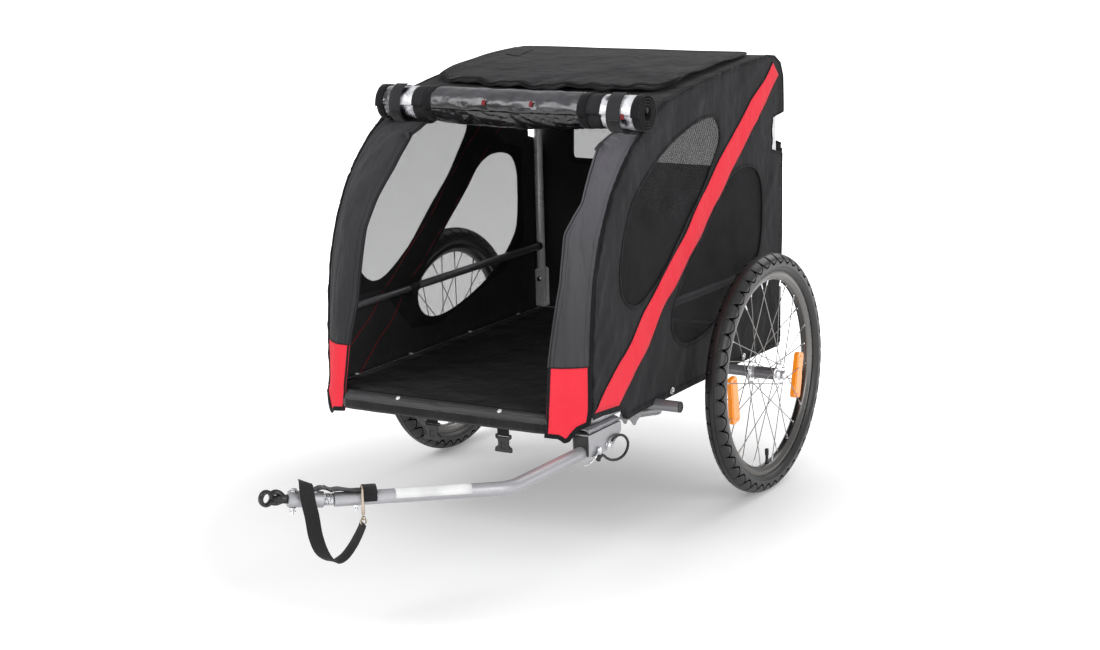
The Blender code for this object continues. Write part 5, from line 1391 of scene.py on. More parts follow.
def spiral(x_from, x_to, columns, start_turn, end_turn, grow=0.0, seed=0.0, slack=0.0009, fine=0.0, sag=0.0):
    start_r = ROLL_R - 0.0021 - ROLL_PITCH * ROLL_TURNS
    steps = max(4, round((end_turn - start_turn) * (60 if fine else 30)))
    rows = []
    for turns in evenly(start_turn, end_turn, steps):
        a = 2 * pi * turns
        row = []
        for k, x in enumerate(evenly(x_from, x_to, columns)):
            r = start_r + ROLL_PITCH * turns + grow
            r += slack * smooth_noise(x * 18, cos(a) * 1.7, sin(a) * 1.7 + seed)
            r += slack * 0.8 * smooth_noise(x * 42, cos(a) * 3.2 + 4, sin(a) * 3.2 + seed)
            if fine and turns > ROLL_TURNS - 1.2:
                # Crisp dents of a thin stiff sheet: folded noise
                fold = abs(smooth_noise(x * 24 + 3 * sin(a), cos(a) * 1.5 + 2, sin(a) * 2.4 + seed))
                low_half = clamp((-sin(a) + 0.35) * 1.4)
                r -= fine * (0.35 + 0.65 * low_half) * max(0.0, 0.5 - fold * 2.6)
            droop = sag * sin(pi * k / columns) ** 0.5 * max(0.0, -sin(a)) * clamp(turns - ROLL_TURNS + 1.6)
            row.append((x, ROLL_Y + r * cos(a), ROLL_Z + r * sin(a) - droop))
        rows.append(row)
    return grid(rows)


def round_roll(x, degrees, out=0.0):
    """A place on the roll's surface and the way it faces."""
    a = radians(degrees)
    way = Vector((0, cos(a), sin(a)))
    return Vector((x, ROLL_Y, ROLL_Z)) + way * (ROLL_R + out), way


def make_roll():
    middle = spiral(*ROLL_MIDDLE, 110, 0.0, 4.52, -0.0004, 1.0, 0.0014, 0.0042, 0.009)
    middle = piece("roll_middle", middle, VINYL, ("roll_up_cover",), thick=0.002)
    for name, spans, turns, look, slot, thick in (
            ("roll_clear", ROLL_CLEAR, (24, 3.3, 4.5, -0.0006, 2.0, 0.0012, 0.003), PVC, "vinyl", 0.0008),
            ("roll_core", ROLL_CLEAR, (12, 0.0, 3.34, 0.0, 3.0), VINYL, "vinyl", 0.0014),
            ("roll_trim", ROLL_TRIMS, (3, 0.2, 4.52, 0.0003, 4.0, 0.0006), BINDING, "webbing", 0.002),
            ("roll_bands", ROLL_BANDS, (4, 0.2, 4.5, -0.0006, 4.4, 0.0008), CLOTH, "webbing", 0.0018)):
        piece(name, Shape().join(*(spiral(a, b, *turns) for a, b in spans)), look, thick=thick)
    thread, straps, tabs, red = Shape(), Shape(), Shape(), Shape()

    def wind(shape, places, profile):
        path, ups = zip(*(round_roll(*place) for place in places))
        shape.join(sweep(path, profile, up=list(ups)))

    for a, b in ROLL_TRIMS + ROLL_BANDS:
        for x in (a + 0.0025, b - 0.0025):
            path, ups = zip(*(round_roll(x, 60 + 4 * k) for k in range(50)))
            thread.join(stitches(path, list(ups)))
    piece("roll_stitches", thread, THREAD)
    for x, wide in ROLL_STRAPS:
        places = [(x + 0.0012 * sin(k * 0.26), 100 + 7.5 * k, 0.001 - 0.0056 * max(0.0, (k - 11) / 37 * 0.9))
                  for k in range(48)]
        wind(straps, places, flat(wide, 0.0018))
        wind(tabs, [(x - 0.0006, 194 + 6.5 * k, 0.0022 - 0.0002 * k) for k in range(11)], flat(wide - 0.002, 0.0022))
    piece("roll_straps", straps, STRAP_GREY)
    piece("roll_tabs", tabs, HOOK_LOOP)
    # A small red loop sewn under the clear part beside the near strap, and two red marks in the dark sheet
    for x, start, wide in ((0.279, 176, 0.007), (-0.026, 154, 0.008), (0.08, 152, 0.007)):
        wind(red, [(x, start + 5 * k, 0.0006) for k in range(4)], flat(wide, 0.0012))
    piece("roll_red_marks", red, RED_THREAD)
    # The loose end of the sheet, which springs out of the roll's near end
    rows = []
    for share in evenly(0, 1, 48):
        a = radians(560 * share)
        r = 0.008 + 0.017 * share
        xs = (0.29, 0.3, 0.308 + 0.003 * sin(a * 1.5))
        rows.append([(x, ROLL_Y + r * cos(a), ROLL_Z + r * sin(a)) for x in xs])
    piece("roll_end_curl", grid(rows), VINYL, thick=0.0007)


# Floor cloth and the sleeve over the front tube
def sleeve_angle(step, turned):
    """How far round the front tube a row of the sleeve lies."""
    return radians(96 + 96 * step / turned)


def make_floor_cloth():
    low, high = box("floor_panel")
    z = low.z + 0.0013
    bend_y = FRONT_Y + CORNER_R
    front = FRONT_Y - 0.001
    half = [(CORNER_X, front)]
    for step in range(1, 13):
        turn = pi / 24 * step
        half.append((CORNER_X + (high.x - CORNER_X) * sin(turn), bend_y + (front - bend_y) * cos(turn)))
    half.append((high.x, high.y))
    outline = half + [(-x, y) for x, y in reversed(half)]

    def level(lift):
        return lambda u, v: (u, v, z + lift + 0.0007 * smooth_noise(u * 8, v * 8, 2) - 0.0004)

    cloth_shape = cut_panel(outline, [], level(0.0), 0.02)
    cloth = piece("floor_cloth", cloth_shape, FLOOR_CLOTH, ("floor_panel",), thick=0.0022)
    strip, rivets, thread = Shape(), Shape(), Shape()
    for sign in (1, -1):
        path = [Vector(level(0.0016)(sign * 0.262, y)) for y in evenly(-0.52, 0.21, 40)]
        strip.join(sweep(path, flat(0.024, 0.0012), up=(0, 0, 1)))
        for off in (-0.0105, 0.0105):
            thread.join(stitches([p + Vector((off, 0, 0.0007)) for p in path], (0, 0, 1)))
        for y in (-0.5, -0.309, -0.083, 0.114):
            rivets.join(dome((sign * 0.276, y, z + 0.003), (0, 0, 1), 0.0048, 0.0026))
    path = [Vector(level(0.0016)(x, 0.195)) for x in evenly(-0.25, 0.25, 30)]
    strip.join(sweep(path, flat(0.022, 0.0012), up=(0, 0, 1)))
    piece("floor_border", strip, BINDING)

    # The sleeve is wrapped over the front tube and hangs down before it, after its last turned row
    turned, last, start_y = 13, 18, -0.5
    corners = [(-RAIL_X, start_y), (-RAIL_X, FRONT_Y), (RAIL_X, FRONT_Y), (RAIL_X, start_y)]
    path = filleted([(x, y, RAIL_Z) for x, y in corners], CORNER_R, 16)
    path = resample([p for p in path if abs(p.x) < 0.2295], 0.012, closed=False)
    radius = FRAME_R + GAP + 0.0012
    rows = []
    for step in range(last + 1):
        angle = sleeve_angle(min(step, turned), turned)
        down = max(0, step - turned) / (last - turned)
        row = []
        for i, p in enumerate(path):
            way = way_at(path, i)
            u, v = -cos(angle) * radius, sin(angle) * radius
            if down:
                v -= (0.0225 - 0.0028 + sin(angle) * radius) * down
                u = radius + (0.0008 + 0.001 * smooth_noise(p.x * 14, step * 0.3, 1)) * down
            rise = v + 0.0004 * smooth_noise(p.x * 30, step, 3)
            row.append(p + Vector((way.y, -way.x, 0)) * u + Vector((0, 0, rise)))
        rows.append(row)
    sleeve = piece("front_sleeve_cloth", grid(rows), SLEEVE, ("front_sleeve",), thick=0.0018)
    for step in (2, 6, turned):
        angle = sleeve_angle(step, turned)
        normal = Vector((0, cos(angle), sin(angle)))
        thread.join(stitches([p + normal * 0.0011 for p in rows[step]], normal))
    angle = sleeve_angle(4, turned)
    normal = Vector((0, cos(angle), sin(angle)))
    for x in (-0.103, 0.132):
        near = min(rows[4], key=lambda p: abs(p.x - x))
        rivets.join(dome(near + normal * 0.0008, normal, 0.0046, 0.0019))
    fuzzy = [[p + Vector((0, -0.0016, 0)) for p in row] for row in rows[12:18]]
    piece("sleeve_hook_strip", grid(fuzzy), HOOK_LOOP, thick=0.0014)
    piece("floor_stitches", thread, THREAD)
    piece("floor_rivets", rivets, RIVET_PAINTED_LIT)


def make_buckles():
    right_half = [(0.017, 0.0005), (0.017, -0.007), (0.0115, -0.0105), (0.011, -0.021), (0.018, -0.026),
                  (0.0185, -0.034)]
    body = rounded(right_half + [(-u, v) for u, v in reversed(right_half)], 0.0022)
    slot = rounded([(-0.0135, -0.0015), (0.0135, -0.0015), (0.0135, -0.0045), (-0.0135, -0.0045)], 0.001, 3)
    groove = rounded([(-0.0045, -0.015), (0.0045, -0.015), (0.0045, -0.027), (-0.0045, -0.027)], 0.0015, 3)
    for side, (x, foot) in BUCKLES.items():
        top = foot + 0.03
        stand = at(x, FRONT_Y, top) @ FRONT_PLANE
        shape = slab(body, 0.0056, stand, [slot, groove], 0.0009)
        for sx in (-1, 1):
            arm = [(sx * 0.0085, -0.012), (sx * 0.0118, -0.013), (sx * 0.0112, -0.021), (sx * 0.0085, -0.022)]
            shape.join(slab(rounded(arm, 0.001, 3), 0.0042, stand, bevel=0.0006))
        shape.join(slab(groove, 0.003, stand, bevel=0.0005))
        piece(side + "_release_buckle", shape, PLASTIC, (side + "_buckle",))
        line = [(x, FRONT_Y, FRAME_BOTTOM - GAP - 0.0002), (x, FRONT_Y - 0.0004, (top + FRAME_BOTTOM) / 2),
                (x, FRONT_Y, top - 0.003)]
        web = sweep(line, flat(0.026, 0.0016), up=(0, -1, 0))
        piece(side + "_buckle_webbing", web, WEBBING)


# Wheels
def mirrored(half):
    """A half outline, and the same backwards with its second value turned round."""
    return half + [(r, -x) for r, x in reversed(half)]


def tyre_shape():
    half = TYRE_HALF
    bead = RIM_R + GAP

    def wall(share):
        return RIM_R + share * TYRE_SECTION

    # The wall is drawn finely, so that its half-moon lines show
    left_side = [(bead, 0.6 * half), (wall(0.16), 0.86 * half), (wall(0.352), 0.97 * half), (wall(0.69), 0.93 * half),
                 (wall(0.88), 0.66 * half), (wall(0.97), 0.34 * half)]
    fine = flat_curve(left_side + [(TYRE_R, 0.0)] + mirrored(left_side)[len(left_side):], 9)
    inner = [(bead, -0.6 * half + 0.003), (wall(0.4), -0.8 * half), (wall(0.72), -0.55 * half), (TYRE_R - 0.0045, 0),
             (wall(0.72), 0.55 * half), (wall(0.4), 0.8 * half), (bead, 0.6 * half - 0.003)]
    profile = fine + inner
    blocks, per = 46, 14
    verts, uvs = [], []
    for i, a in enumerate(around(blocks * per)):
        for k, (r, x) in enumerate(profile):
            turns = i / per + (0.0 if x > 0 else 0.5)
            if k < len(fine):
                share, phase, high_up = abs(x) / half, turns % 1.0, (r - RIM_R) / TYRE_SECTION
                if high_up > 0.78:
                    if 0.17 < share < 0.3:
                        r -= 0.0015
                    if share > 0.33 and phase < 0.14:
                        r -= 0.0019
                        x *= 0.97
                elif high_up > 0.62 and phase < 0.1:
                    x *= 0.966
                elif 0.3 < high_up < 0.36:
                    x *= 1.012
            verts.append((x, r * cos(a), r * sin(a)))
            uvs.append((turns, (r - RIM_R) / TYRE_SECTION))
    return Shape().add(verts, quads(blocks * per, len(profile), True, True, flip=True), uvs)


def rim_shape():
    e, inner = RIM_HALF, RIM_R - RIM_DEPTH
    half = [(RIM_R - 0.0003, e - 0.0012), (RIM_R + 0.0002, e - 0.0004), (RIM_R - 0.0004, e), (RIM_R - 0.009, e),
            (RIM_R - 0.0098, e - 0.0008), (RIM_R - 0.0105, e - 0.0012), (inner + 0.0022, e * 0.62),
            (inner + 0.0006, e * 0.48), (inner, e * 0.25)]
    profile = mirrored(half) + [(RIM_R - 0.005, -e + 0.0034), (RIM_R - 0.0055, 0), (RIM_R - 0.005, e - 0.0034)]
    return lathe(profile, (0, 0, 0), (1, 0, 0), 120, closed=True)


def spoke_line(index, flange):
    """A spoke's ends at the hub and at the rim, and which way it leans."""
    lean = 1 if index % 2 else -1
    base = 2 * pi * (index + (0.25 if flange < 0 else -0.25)) / SPOKES
    hub_turn = base + lean * radians(62)
    hub_r, rim_r = FLANGE_R - 0.003, RIM_R - RIM_DEPTH - 0.0004
    start = Vector((flange * (FLANGE_X + lean * 0.0013), hub_r * cos(hub_turn), hub_r * sin(hub_turn)))
    end = Vector((flange * (0.0026 + lean * 0.0013), rim_r * cos(base), rim_r * sin(base)))
    return start, end, lean


def make_wheel(side, sign):
    centre = at(sign * WHEEL_X, 0, AXLE_Z) @ Matrix.Diagonal((sign, 1, 1, 1))
    body = side + "_wheel"
    hub_centre, hub_way = (0, 0, 0), (1, 0, 0)
    piece(side + "_tread_tyre", tyre_shape().moved(centre), RUBBER, (side + "_tyre",), body=body, sharp=28)
    piece(side + "_wheel_rim", rim_shape().moved(centre), RIM, (side + "_rim",), body=body, sharp=40)
    steel, nipples = Shape(), Shape()
    nipple = [(0.001, -0.0122), (0.0017, -0.0122), (0.0018, -0.006), (0.0018, -0.001), (0.0026, 0.0),
              (0.0026, 0.0006), (0, 0.0008)]
    for flange in (-1, 1):
        for index in range(SPOKES):
            start, end, lean = spoke_line(index, flange)
            way = (end - start).normalized()
            elbow = start + Vector((flange * lean * 0.0022, 0, 0))
            steel.join(sweep([elbow, start + way * 0.002, start + way * 0.006, end - way * 0.012, end],
                             ring(0.001, 8)),
                       dome(elbow, (flange * lean, 0, 0), 0.002, 0.001, 10))
            nipples.join(lathe(nipple, end, way, 8))
    shell = [(0.0066, HUB_HALF), (0.0086, HUB_HALF), (0.0093, HUB_HALF - 0.0006)]
    shell += [(r, FLANGE_X + out) for r, out in (
        (0.0098, 0.0042), (0.0118, 0.002), (FLANGE_R - 0.0006, 0.0015), (FLANGE_R, 0.0009), (FLANGE_R, -0.0009),
        (FLANGE_R - 0.0006, -0.0015), (0.0135, -0.0018), (HUB_R + 0.0004, -0.005), (HUB_R, -0.01))]
    profile = shell + [(HUB_R * 0.93, 0)] + mirrored(shell)[len(shell):]
    hub = lathe(profile, hub_centre, hub_way, 56, closed=True)
    piece(side + "_hub", hub.moved(centre), ZINC, (side + "_hub_and_spokes",), body=body)
    barrel = [(HUB_R + 0.0002, -0.0215), (HUB_R + 0.0012, -0.0205)]
    barrel = lathe(barrel + [(HUB_R + 0.0014, 0.0)] + mirrored(barrel)[2:], hub_centre, hub_way, 40)
    piece(side + "_hub_barrel", barrel.moved(centre), GREY, body=body)
    piece(side + "_spokes", steel.moved(centre), SPOKE, body=body)
    piece(side + "_nipples", nipples.moved(centre), ZINC, body=body)
    valve_way = Vector((0.0, 0.006, -0.186)).normalized()
    valve = lathe([(0.0046, 0), (0.0044, 0.0035), (0.0034, 0.005), (0.0031, 0.017), (0.004, 0.0175), (0.0041, 0.029),
                   (0.0036, 0.031), (0, 0.0314)],
                  valve_way * (RIM_R - RIM_DEPTH + 0.001), -valve_way, 20)
    piece(side + "_valve", valve.moved(centre), SOFT_RUBBER, body=body)
    body_loop = [(-0.016, -0.042), (-0.012, -0.048), (0.012, -0.048), (0.016, -0.042), (0.016, -0.002),
                 (0.0135, 0.003), (0.0135, 0.042), (0.009, 0.048), (-0.011, 0.048), (-0.016, 0.042)]
    lens_loop = [(-0.0125, -0.0385), (0.0125, -0.0385), (0.0125, -0.003), (0.01, 0.002), (0.01, 0.0385),
                 (-0.0125, 0.0385)]
    screw = [(0.003, -0.005), (0.003, 0.0044), (0.0024, 0.005), (0, 0.005)]
    for mark, angle, up in (("front", 188, -1), ("rear", -14, 1)):
        turn = Matrix.Rotation(radians(angle), 4, "X") @ at(0.002, 0.1545, 0)
        shape = Shape()
        for loop, radius, steps, thickness, bevel in (
                (body_loop, 0.003, 5, 0.01, 0.0008), (lens_loop, 0.002, 3, 0.0124, 0.0006)):
            outline = [(u, up * v) for u, v in loop][::up]
            shape.join(slab(rounded(outline, radius, steps), thickness, turn @ SIDE_PLANE, bevel=bevel))
        for v in (-0.04, 0.04):
            shape.join(lathe(screw, turn @ Vector((0, -0.002, v)), turn.to_3x3() @ Vector((1, 0, 0)), 16))
        piece(side + "_" + mark + "_lens", shape.moved(centre), ORANGE, (side + "_" + mark + "_reflector",),
              body=body)


# Channel under the left rail, with its liner, bolt and locking pin
def make_channel():
    low, high = box("channel_bracket")
    outer = (high.x - low.x) / 2
    inner = outer - 0.0025
    top = high.z - 0.0085
    cheek = [(low.y, low.z + 0.001), (low.y + 0.002, low.z), (-0.5, low.z), (-0.47, DRAWBAR_Z + 0.01),
             (high.y, DRAWBAR_Z + 0.016), (high.y, top), (low.y, top)]
    holes = [circle(PIVOT_Y, DRAWBAR_Z, 0.0043), circle(LOCK_Y, DRAWBAR_Z, 0.0043)]
    shape = Shape()
    for sign in (1, -1):
        place = at(DRAWBAR_X + sign * (outer - 0.00125), 0, 0) @ SIDE_PLANE
        shape.join(slab(rounded(cheek, 0.0022), 0.0025, place, holes, 0.0005))
    shape.join(block((2 * outer - 0.0006, high.y - low.y, 0.0025), at(DRAWBAR_X, (low.y + high.y) / 2, top - 0.00125),
                     0.0009))
    # A curved saddle fills the gap between the channel's top and the round rail
    under_rail = RAIL_Z - FRAME_R
    rows = []
    for u in evenly(-1, 1, 14):
        sink = max(top + 0.0009, under_rail - 0.0003 - max(0.0, abs(u) - 0.35) ** 1.6 * 0.0118)
        rows.append([(DRAWBAR_X + (outer - 0.001) * u, low.y + 0.002 + (high.y - low.y - 0.004) * k / 24,
                      min(under_rail - 0.0005, sink + 0.0004 * sin(k * 0.7))) for k in range(25)])
    piece("channel_saddle", grid(rows), GREY, thick=0.0016, offset=-1.0)
    piece("channel", shape, STEEL, ("channel_bracket",))

    low, high = box("channel_liner")
    half, slot = inner - 0.0003, 0.013
    roof = min(high.z, top - 0.003)
    arch = [(-half, low.z), (-half, roof), (half, roof), (half, low.z), (slot, low.z)]
    arch += [(slot * cos(a), DRAWBAR_Z + slot * sin(a)) for a in around(32)[:17]]
    arch = [(DRAWBAR_X + x, z) for x, z in arch + [(-slot, low.z)]]
    lining = slab(arch, high.y - low.y, at(0, (low.y + high.y) / 2, 0) @ FRONT_PLANE, bevel=0.0004)
    piece("channel_lining", lining, PLASTIC, ("channel_liner",))

    reach = outer + GAP
    pivot = Vector((DRAWBAR_X, PIVOT_Y, DRAWBAR_Z))
    bolt = lathe([(0.004, -reach), (0.004, reach)], pivot, (1, 0, 0), 24)
    for sign, radius, height in ((1, 0.0048, 0.0008), (-1, 0.0038, 0.0012)):
        way = Vector((sign, 0, 0))
        bolt.join(washer(pivot + way * reach, way, 0.0078, 0.0038, 0.0008),
                  hexagon(pivot + way * (reach + 0.0008), way, 0.0115, 0.0042),
                  dome(pivot + way * (reach + 0.005), way, radius, height))
    piece("pivot_bolt_set", bolt, ZINC, ("pivot_bolt",))

    face = DRAWBAR_X + reach
    tip = DRAWBAR_R + GAP - reach
    pin = lathe([(0, tip), (0.0036, tip), (0.004, DRAWBAR_R + 0.001 - reach), (0.004, 0), (0.0059, 0.0),
                 (0.0065, 0.0006), (0.0065, 0.0044), (0.0059, 0.005), (0, 0.0052)],
                (face, LOCK_Y, DRAWBAR_Z), (1, 0, 0), 28)
    bail = curved([(face + out, LOCK_Y - ahead, DRAWBAR_Z - below) for out, ahead, below in BAIL], 6)
    pin.join(tube(bail, 0.0016, 12, edge=0.0004))
    piece("pin_and_bail", pin, ZINC, ("locking_pin",), body="locking_pin")
    side_x = face + 0.0051
    loop = curved([(side_x, PIVOT_Y + y, DRAWBAR_Z + z) for y, z in TETHER_LOOP], 5)
    tether = piece("tether_loop", tube(loop, 0.0026, 14, edge=0.0004), SOFT_RUBBER, ("pin_tether",),
                   body="locking_pin")
    middle = Vector((side_x - 0.0002, LOCK_Y - 0.0065, DRAWBAR_Z - 0.013))
    knot = Shape()
    winding = [(0.0007 * sin(3 * a), 0.0048 * cos(a), 0.004 * sin(a)) for a in around(24)]
    for spin in (0, 60, 120):
        turn = at(*middle) @ Matrix.Rotation(radians(spin), 4, "X") @ Matrix.Rotation(radians(25), 4, "Y")
        knot.join(sweep(winding, ring(0.0021, 10), closed=True).moved(turn))
    tail = [middle + Vector(off) for off in ((0.001, 0.003, -0.001), (0.001, 0.009, 0.001), (0.0005, 0.0135, 0.0045))]
    knot.join(tube(tail, 0.0019, 10, edge=0.0004))
    tied = piece("tether_knot", knot, SOFT_RUBBER, body="locking_pin")


def make_parking_leg():
    pivot = Vector((0.2487, -0.323, 0.22))
    tip = Vector((0.2487, -0.208, 0.201))
    way = (tip - pivot).normalized()
    r = 0.0085
    long = (tip - pivot).length
    leg = lathe([(0, -0.0064), (r * 0.8, -0.006), (r, -0.0048), (r, long - 0.008), (r * 0.94, long - 0.0042),
                 (r * 0.74, long - 0.0012), (r * 0.4, long), (0, long + 0.0003)],
                pivot, way, 36)
    piece("leg_tube", leg, STEEL, ("parking_leg",), body="parking_leg")
    seam = [(r + out, long - back)
            for out, back in ((0.0001, 0.022), (0.0006, 0.0215), (0.0006, 0.0205), (0.0001, 0.02))]
    piece("leg_cap_seam", lathe(seam, pivot, way, 32), GREY, body="parking_leg")
    edge = [(-0.03, -0.003), (-0.022, -0.006), (-0.011, -0.018), (-0.004, -0.0195), (0.002, -0.013), (0.013, -0.008),
            (0.023, -0.004)]
    front_y, back_y, top, sheet = MID_Y - 0.027, MID_Y + 0.026, 0.2337, 0.0025
    outline = rounded([(front_y, top)] + [(pivot.y + y, pivot.z + z) for y, z in edge] + [(back_y, top)], 0.003)
    reach = r + GAP
    shape = Shape()
    for sign in (1, -1):
        place = at(pivot.x + sign * (reach + sheet / 2), 0, 0) @ SIDE_PLANE
        shape.join(slab(outline, sheet, place, bevel=0.0005))
    shape.join(block((2 * (reach + sheet) - 0.001, back_y - front_y, sheet),
                     at(pivot.x, (front_y + back_y) / 2, top - sheet / 2), 0.0006))
    for sign in (1, -1):
        face = pivot + Vector((sign * (reach + sheet), 0, 0))
        shape.join(dome(face, (sign, 0, 0), 0.0052, 0.0017))
        for y in (-0.0185, 0.019):
            shape.join(dome(face + Vector((0, y, 0.006)), (sign, 0, 0), 0.003, 0.0012, 16))
    shape.join(lathe([(0.003, -reach), (0.003, reach)], pivot, (1, 0, 0), 20))
    piece("leg_mount", shape, STEEL, ("leg_bracket",))


# Drawbar, hitch and safety strap
BAR_WAY = (DRAWBAR_END - DRAWBAR_CORNER).normalized()
BAR_LEVEL = Vector((BAR_WAY.x, BAR_WAY.y, 0)).normalized()
BAR_SIDE = Vector((-BAR_LEVEL.y, BAR_LEVEL.x, 0))


def beside_bar(past, out, up):
    """A place by how far it is past the bar's end, out to its side and up from its middle."""
    return DRAWBAR_END + BAR_WAY * past / BAR_WAY.dot(BAR_LEVEL) + BAR_SIDE * out + Vector((0, 0, up))


def make_drawbar():
    path = filleted([(DRAWBAR_X, PIVOT_Y + DRAWBAR_R, DRAWBAR_Z), DRAWBAR_CORNER, DRAWBAR_END], BEND_R, 18)
    piece("drawbar_tube", tube(path, DRAWBAR_R, 40, edge=0.0016), SILVER, ("drawbar",), body="drawbar")
    start, end = DRAWBAR_END - BAR_WAY * 0.107, DRAWBAR_END - BAR_WAY * 0.243
    up = Vector((0, 0, 1)) - BAR_WAY * BAR_WAY.z
    up.normalize()
    side = BAR_WAY.cross(up)
    rows = []
    for angle in evenly(-10, 98, 18):
        out = up * cos(radians(angle)) - side * sin(radians(angle))
        rows.append([start.lerp(end, share) + out * (DRAWBAR_R + 0.00035) for share in evenly(0, 1, 12)])
    piece("bar_label", grid(rows), LABEL, body="drawbar", thick=0.00025)


def make_hitch():
    way = (EYE - DRAWBAR_END).normalized()
    side = way.cross(Vector((0, 0, 1))).normalized()
    up = side.cross(way).normalized()

    def spot(along, out=0.0, high=0.0):
        return DRAWBAR_END + way * along + side * out + up * high

    # The coil starts beyond the bar's end, which is cut on the slant, and ends short of the coupler
    lead = 0.0011 + GAP + 0.0116 * tan(BAR_WAY.angle(way))
    free = 0.018 - lead - 0.0011 - GAP
    coil = []
    for step in range(5 * 28 + 1):
        a = 2 * pi * step / 28
        coil.append(spot(lead + free * step / 140, 0.0105 * cos(a), 0.0105 * sin(a)))
    # The coil is made in two halves that meet on the knuckle between the joint's two turns; neither rides on a body
    rear_half = piece("hitch_spring", tube(coil[:71], 0.0011, 10, edge=0.0003), ZINC, ("coupler_spring",),
                      body=None)
    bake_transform(rear_half)
    front_half = piece("hitch_spring_front", tube(coil[70:], 0.0011, 10, edge=0.0003), ZINC, body=None)
    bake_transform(front_half)

    front, r = 0.0795, 0.014
    body = lathe([(0.0076, front - 0.03), (0.0076, front), (r - 0.0014, front), (r - 0.0004, front - 0.0004),
                  (r, front - 0.0014), (r, 0.0194), (r - 0.0004, 0.0184), (r - 0.0014, 0.018), (0.004, 0.018),
                  (0.004, front - 0.03)],
                 DRAWBAR_END, way, 44, closed=True)
    piece("coupler_body", body, SILVER, ("coupler_tube",), body="coupler")
    pin_at = 0.07
    metal = washer(spot(pin_at, 0, r - 0.0002), up, 0.0082, 0.0025, 0.0014)
    metal.join(lathe([(0.006, 0), (0.006, 0.001), (0.0052, 0.0028), (0.003, 0.004), (0, 0.0043)],
                     spot(pin_at, 0, r + 0.0012), up, 28),
               lathe([(0.003, -2 * r - 0.0125), (0.003, 0)], spot(pin_at, 0, r), up, 20),
               washer(spot(pin_at, 0, -r - 0.0012), up, 0.0066, 0.0025, 0.0012))
    piece("coupler_pin", metal, ZINC, ("hitch_pin",), body="coupler")
    rings = washer(spot(0.0344, 0, r - 0.0002), up, 0.0072, 0.0022, 0.0016)
    rings.join(dome(spot(0.0344, 0, r + 0.001), up, 0.0046, 0.0022))
    piece("coupler_ring", rings, ZINC, body="coupler")
    clip = [spot(0.069 + along, out, -r - 0.006) for along, out in (
        (-0.003, -0.011), (-0.0034, -0.004), (-0.0034, 0.003), (0.0, 0.0062), (0.0038, 0.005), (0.004, 0.001),
        (0.0026, -0.001), (0.0032, -0.005), (0.0062, -0.009), (0.0064, -0.013))]
    piece("coupler_clip", tube(curved(clip, 6), 0.0009, 8, edge=0.0003), ZINC, body="coupler")

    # The forging's eye faces ahead and a little aside; an arm curves from its top on to the square shaft
    normal = Vector((-cos(radians(20)), sin(radians(20)), 0))
    across = normal.cross(Vector((0, 0, 1))).normalized()
    eye_ring = []
    for a in around(56):
        tall = 1.12 if sin(a) > 0 else 1.04
        eye_ring.append(EYE + across * cos(a) * 0.0106 + Vector((0, 0, sin(a) * 0.0106 * tall)))

    def squarish(value, power):
        return copysign(abs(value) ** power, value)

    section = [(0.0036 * squarish(sin(t), 0.8), 0.0056 * squarish(cos(t), 0.75)) for t in around(18)]
    eye = sweep(eye_ring, section, up=[normal] * 56, closed=True)
    for arm, radius in (
            (((0.009, 0.0085), (0.015, 0.0118), (0.0215, 0.0112), (0.027, 0.0072), (0.03, 0.003)), 0.0046),
            (((0.0085, -0.007), (0.017, -0.0078), (0.027, -0.004)), 0.004)):
        line = curved([EYE - way * back + Vector((0, 0, high)) for back, high in arm], 6)
        eye.join(tube(line, radius, 16, edge=0.001))
    neck_at = (EYE - DRAWBAR_END).length - 0.0148
    eye.join(lathe([(0, front - 0.0285), (0.0073, front - 0.0285), (0.0073, front + 0.004), (0.0076, front + 0.0052),
                    (0.0076, neck_at - 0.01), (0.007, neck_at - 0.006), (0.006, neck_at), (0.005, neck_at + 0.003),
                    (0, neck_at + 0.0035)],
                   DRAWBAR_END, way, 36),
             block((0.0132, 0.0132, 0.02), facing(spot(front + 0.009), way, up), 0.0016, 3))
    piece("forged_eye", eye, FORGED, ("hitch_eye",), body="coupler")


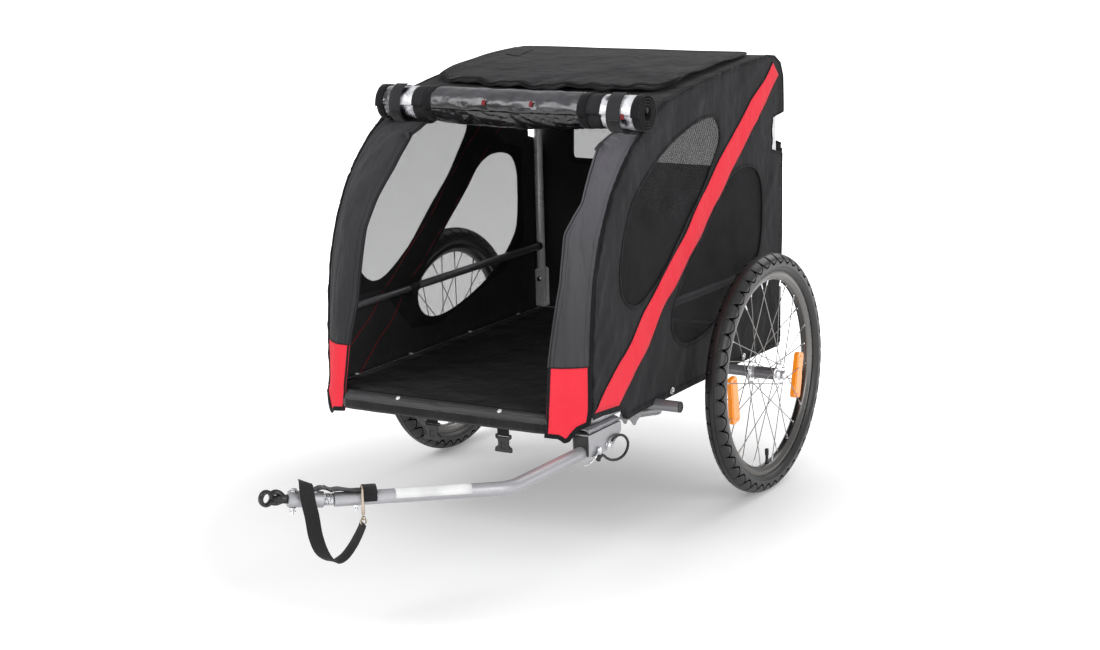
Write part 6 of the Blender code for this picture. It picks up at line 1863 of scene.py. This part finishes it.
def make_strap():
    steps = 5
    places = curved([beside_bar(past, out, up) for past, out, up, _ in STRAP_ROUTE], steps)
    turns = list(enumerate(turn for _, _, _, turn in STRAP_ROUTE))
    ups = []
    for i in range(len(places)):
        way = way_at(places, i)
        t = radians(between(turns, i / steps))
        across = BAR_SIDE * cos(t) - BAR_LEVEL * sin(t)
        # Over the coupler the strap folds on the slant, from along the bar to straight down
        across.z -= 0.5 * exp(-((i - 58) / 9) ** 2)
        ups.append((across - way * across.dot(way)).normalized().cross(way))
    webbing = flat(STRAP_WIDTH, 0.0018)
    parts, lines = {}, {}
    for name, first, last, lift in STRAP_PARTS:
        run = range(first * steps, last * steps + 1)
        lines[name] = [places[i] + Vector((0, 0, lift * clamp((i - 15) / 10))) for i in run]
        shape = sweep(lines[name], webbing, up=[ups[i] for i in run])
        parts[name] = piece(name, shape, WEBBING, ("safety_strap",) if name == "strap_webbing" else (),
                            body=None)

    def spot(past, out, up):
        return tuple(beside_bar(past, out, up) + TO_ROW)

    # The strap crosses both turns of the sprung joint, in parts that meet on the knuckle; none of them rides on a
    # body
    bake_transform(parts["strap_bar"])
    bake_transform(parts["strap_webbing"])
    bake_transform(parts["strap_arm"])
    # Its other end is folded and sewn into a loop that stands on top of the bar
    middle = DRAWBAR_END + BAR_WAY * WRAP_PLACE
    bar_up = BAR_WAY.cross(BAR_SIDE)
    bar_up = bar_up if bar_up.z > 0 else -bar_up
    for layer, (first, last, rise) in enumerate(((-14, 196, 0.0085), (35, 150, 0.0035))):
        path, outs = [], []
        for k, angle in enumerate(evenly(first, last, 24)):
            a = radians(angle)
            outs.append(BAR_SIDE * cos(a) + bar_up * sin(a))
            path.append(middle + outs[-1] * (DRAWBAR_R + 0.0014 + 0.0008 * sin(k))
                        + bar_up * rise * max(0.0, sin(a)) ** 2 - BAR_WAY * 0.001 * layer)
        piece("strap_wrap_" + str(layer + 1), sweep(path, webbing, up=outs), WEBBING, body="drawbar")

    past, out = HOOK_PLACE
    down = Vector((0, 0, -1))
    hook = lathe([(0, 0), (0.0012, 0.0006), (0.0019, 0.004), (0.0024, 0.02), (0.0032, 0.038), (0.0032, 0.046),
                  (0.0022, 0.049), (0, 0.05)],
                 beside_bar(past, out, 0.0235), down, 24)
    hook.join(lathe([(0, 0), (0.003, 0.0008), (0.0042, 0.0036), (0.003, 0.0064), (0, 0.0072)],
                    beside_bar(past, out, -0.027), down, 24))
    bow = [beside_bar(past, out - back, high)
           for back, high in ((0, 0.0225), (0.003, 0.025), (0.0085, 0.0235), (0.011, 0.019))]
    hook.join(tube(curved(bow, 6), 0.0013, 12, edge=0.0004))
    centre = beside_bar(past + 0.0004, out, -0.037)
    link = [centre + (BAR_LEVEL * cos(a) + Vector((0, 0, sin(a)))) * 0.005 for a in around(32)]
    hook.join(sweep(link, ring(0.0014, 10), up=[BAR_SIDE] * 32, closed=True))
    piece("strap_hook", hook, BRASS, ("snap_hook",), body="drawbar")
    bolt_end = lathe([(0.0034, -0.002), (0.0034, 0.004), (0.004, 0.005), (0.0036, 0.0085), (0, 0.01)],
                     beside_bar(-0.0376, 0.004, -DRAWBAR_R), down, 20)
    piece("bar_bolt_end", bolt_end, ZINC, body="drawbar")
    hanging = [tuple(p + TO_ROW) for p in lines["strap_webbing"]]
    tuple(hanging[0])
    sum(dist(a, b) for a, b in zip(hanging, hanging[1:]))


make_frame()
make_hoops()
make_post_brackets()
make_side_cloths()
make_corner_cloths()
make_roof()
make_flap()
make_roll()
make_floor_cloth()
make_buckles()
for side, sign in SIDES.items():
    make_wheel(side, sign)
    for slot_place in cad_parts[side + "_axle"].material_slots:
        slot_place.material = ZINC
make_channel()
make_parking_leg()
make_drawbar()
make_hitch()
make_strap()
for slot_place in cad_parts["spring_core"].material_slots:
    slot_place.material = ZINC
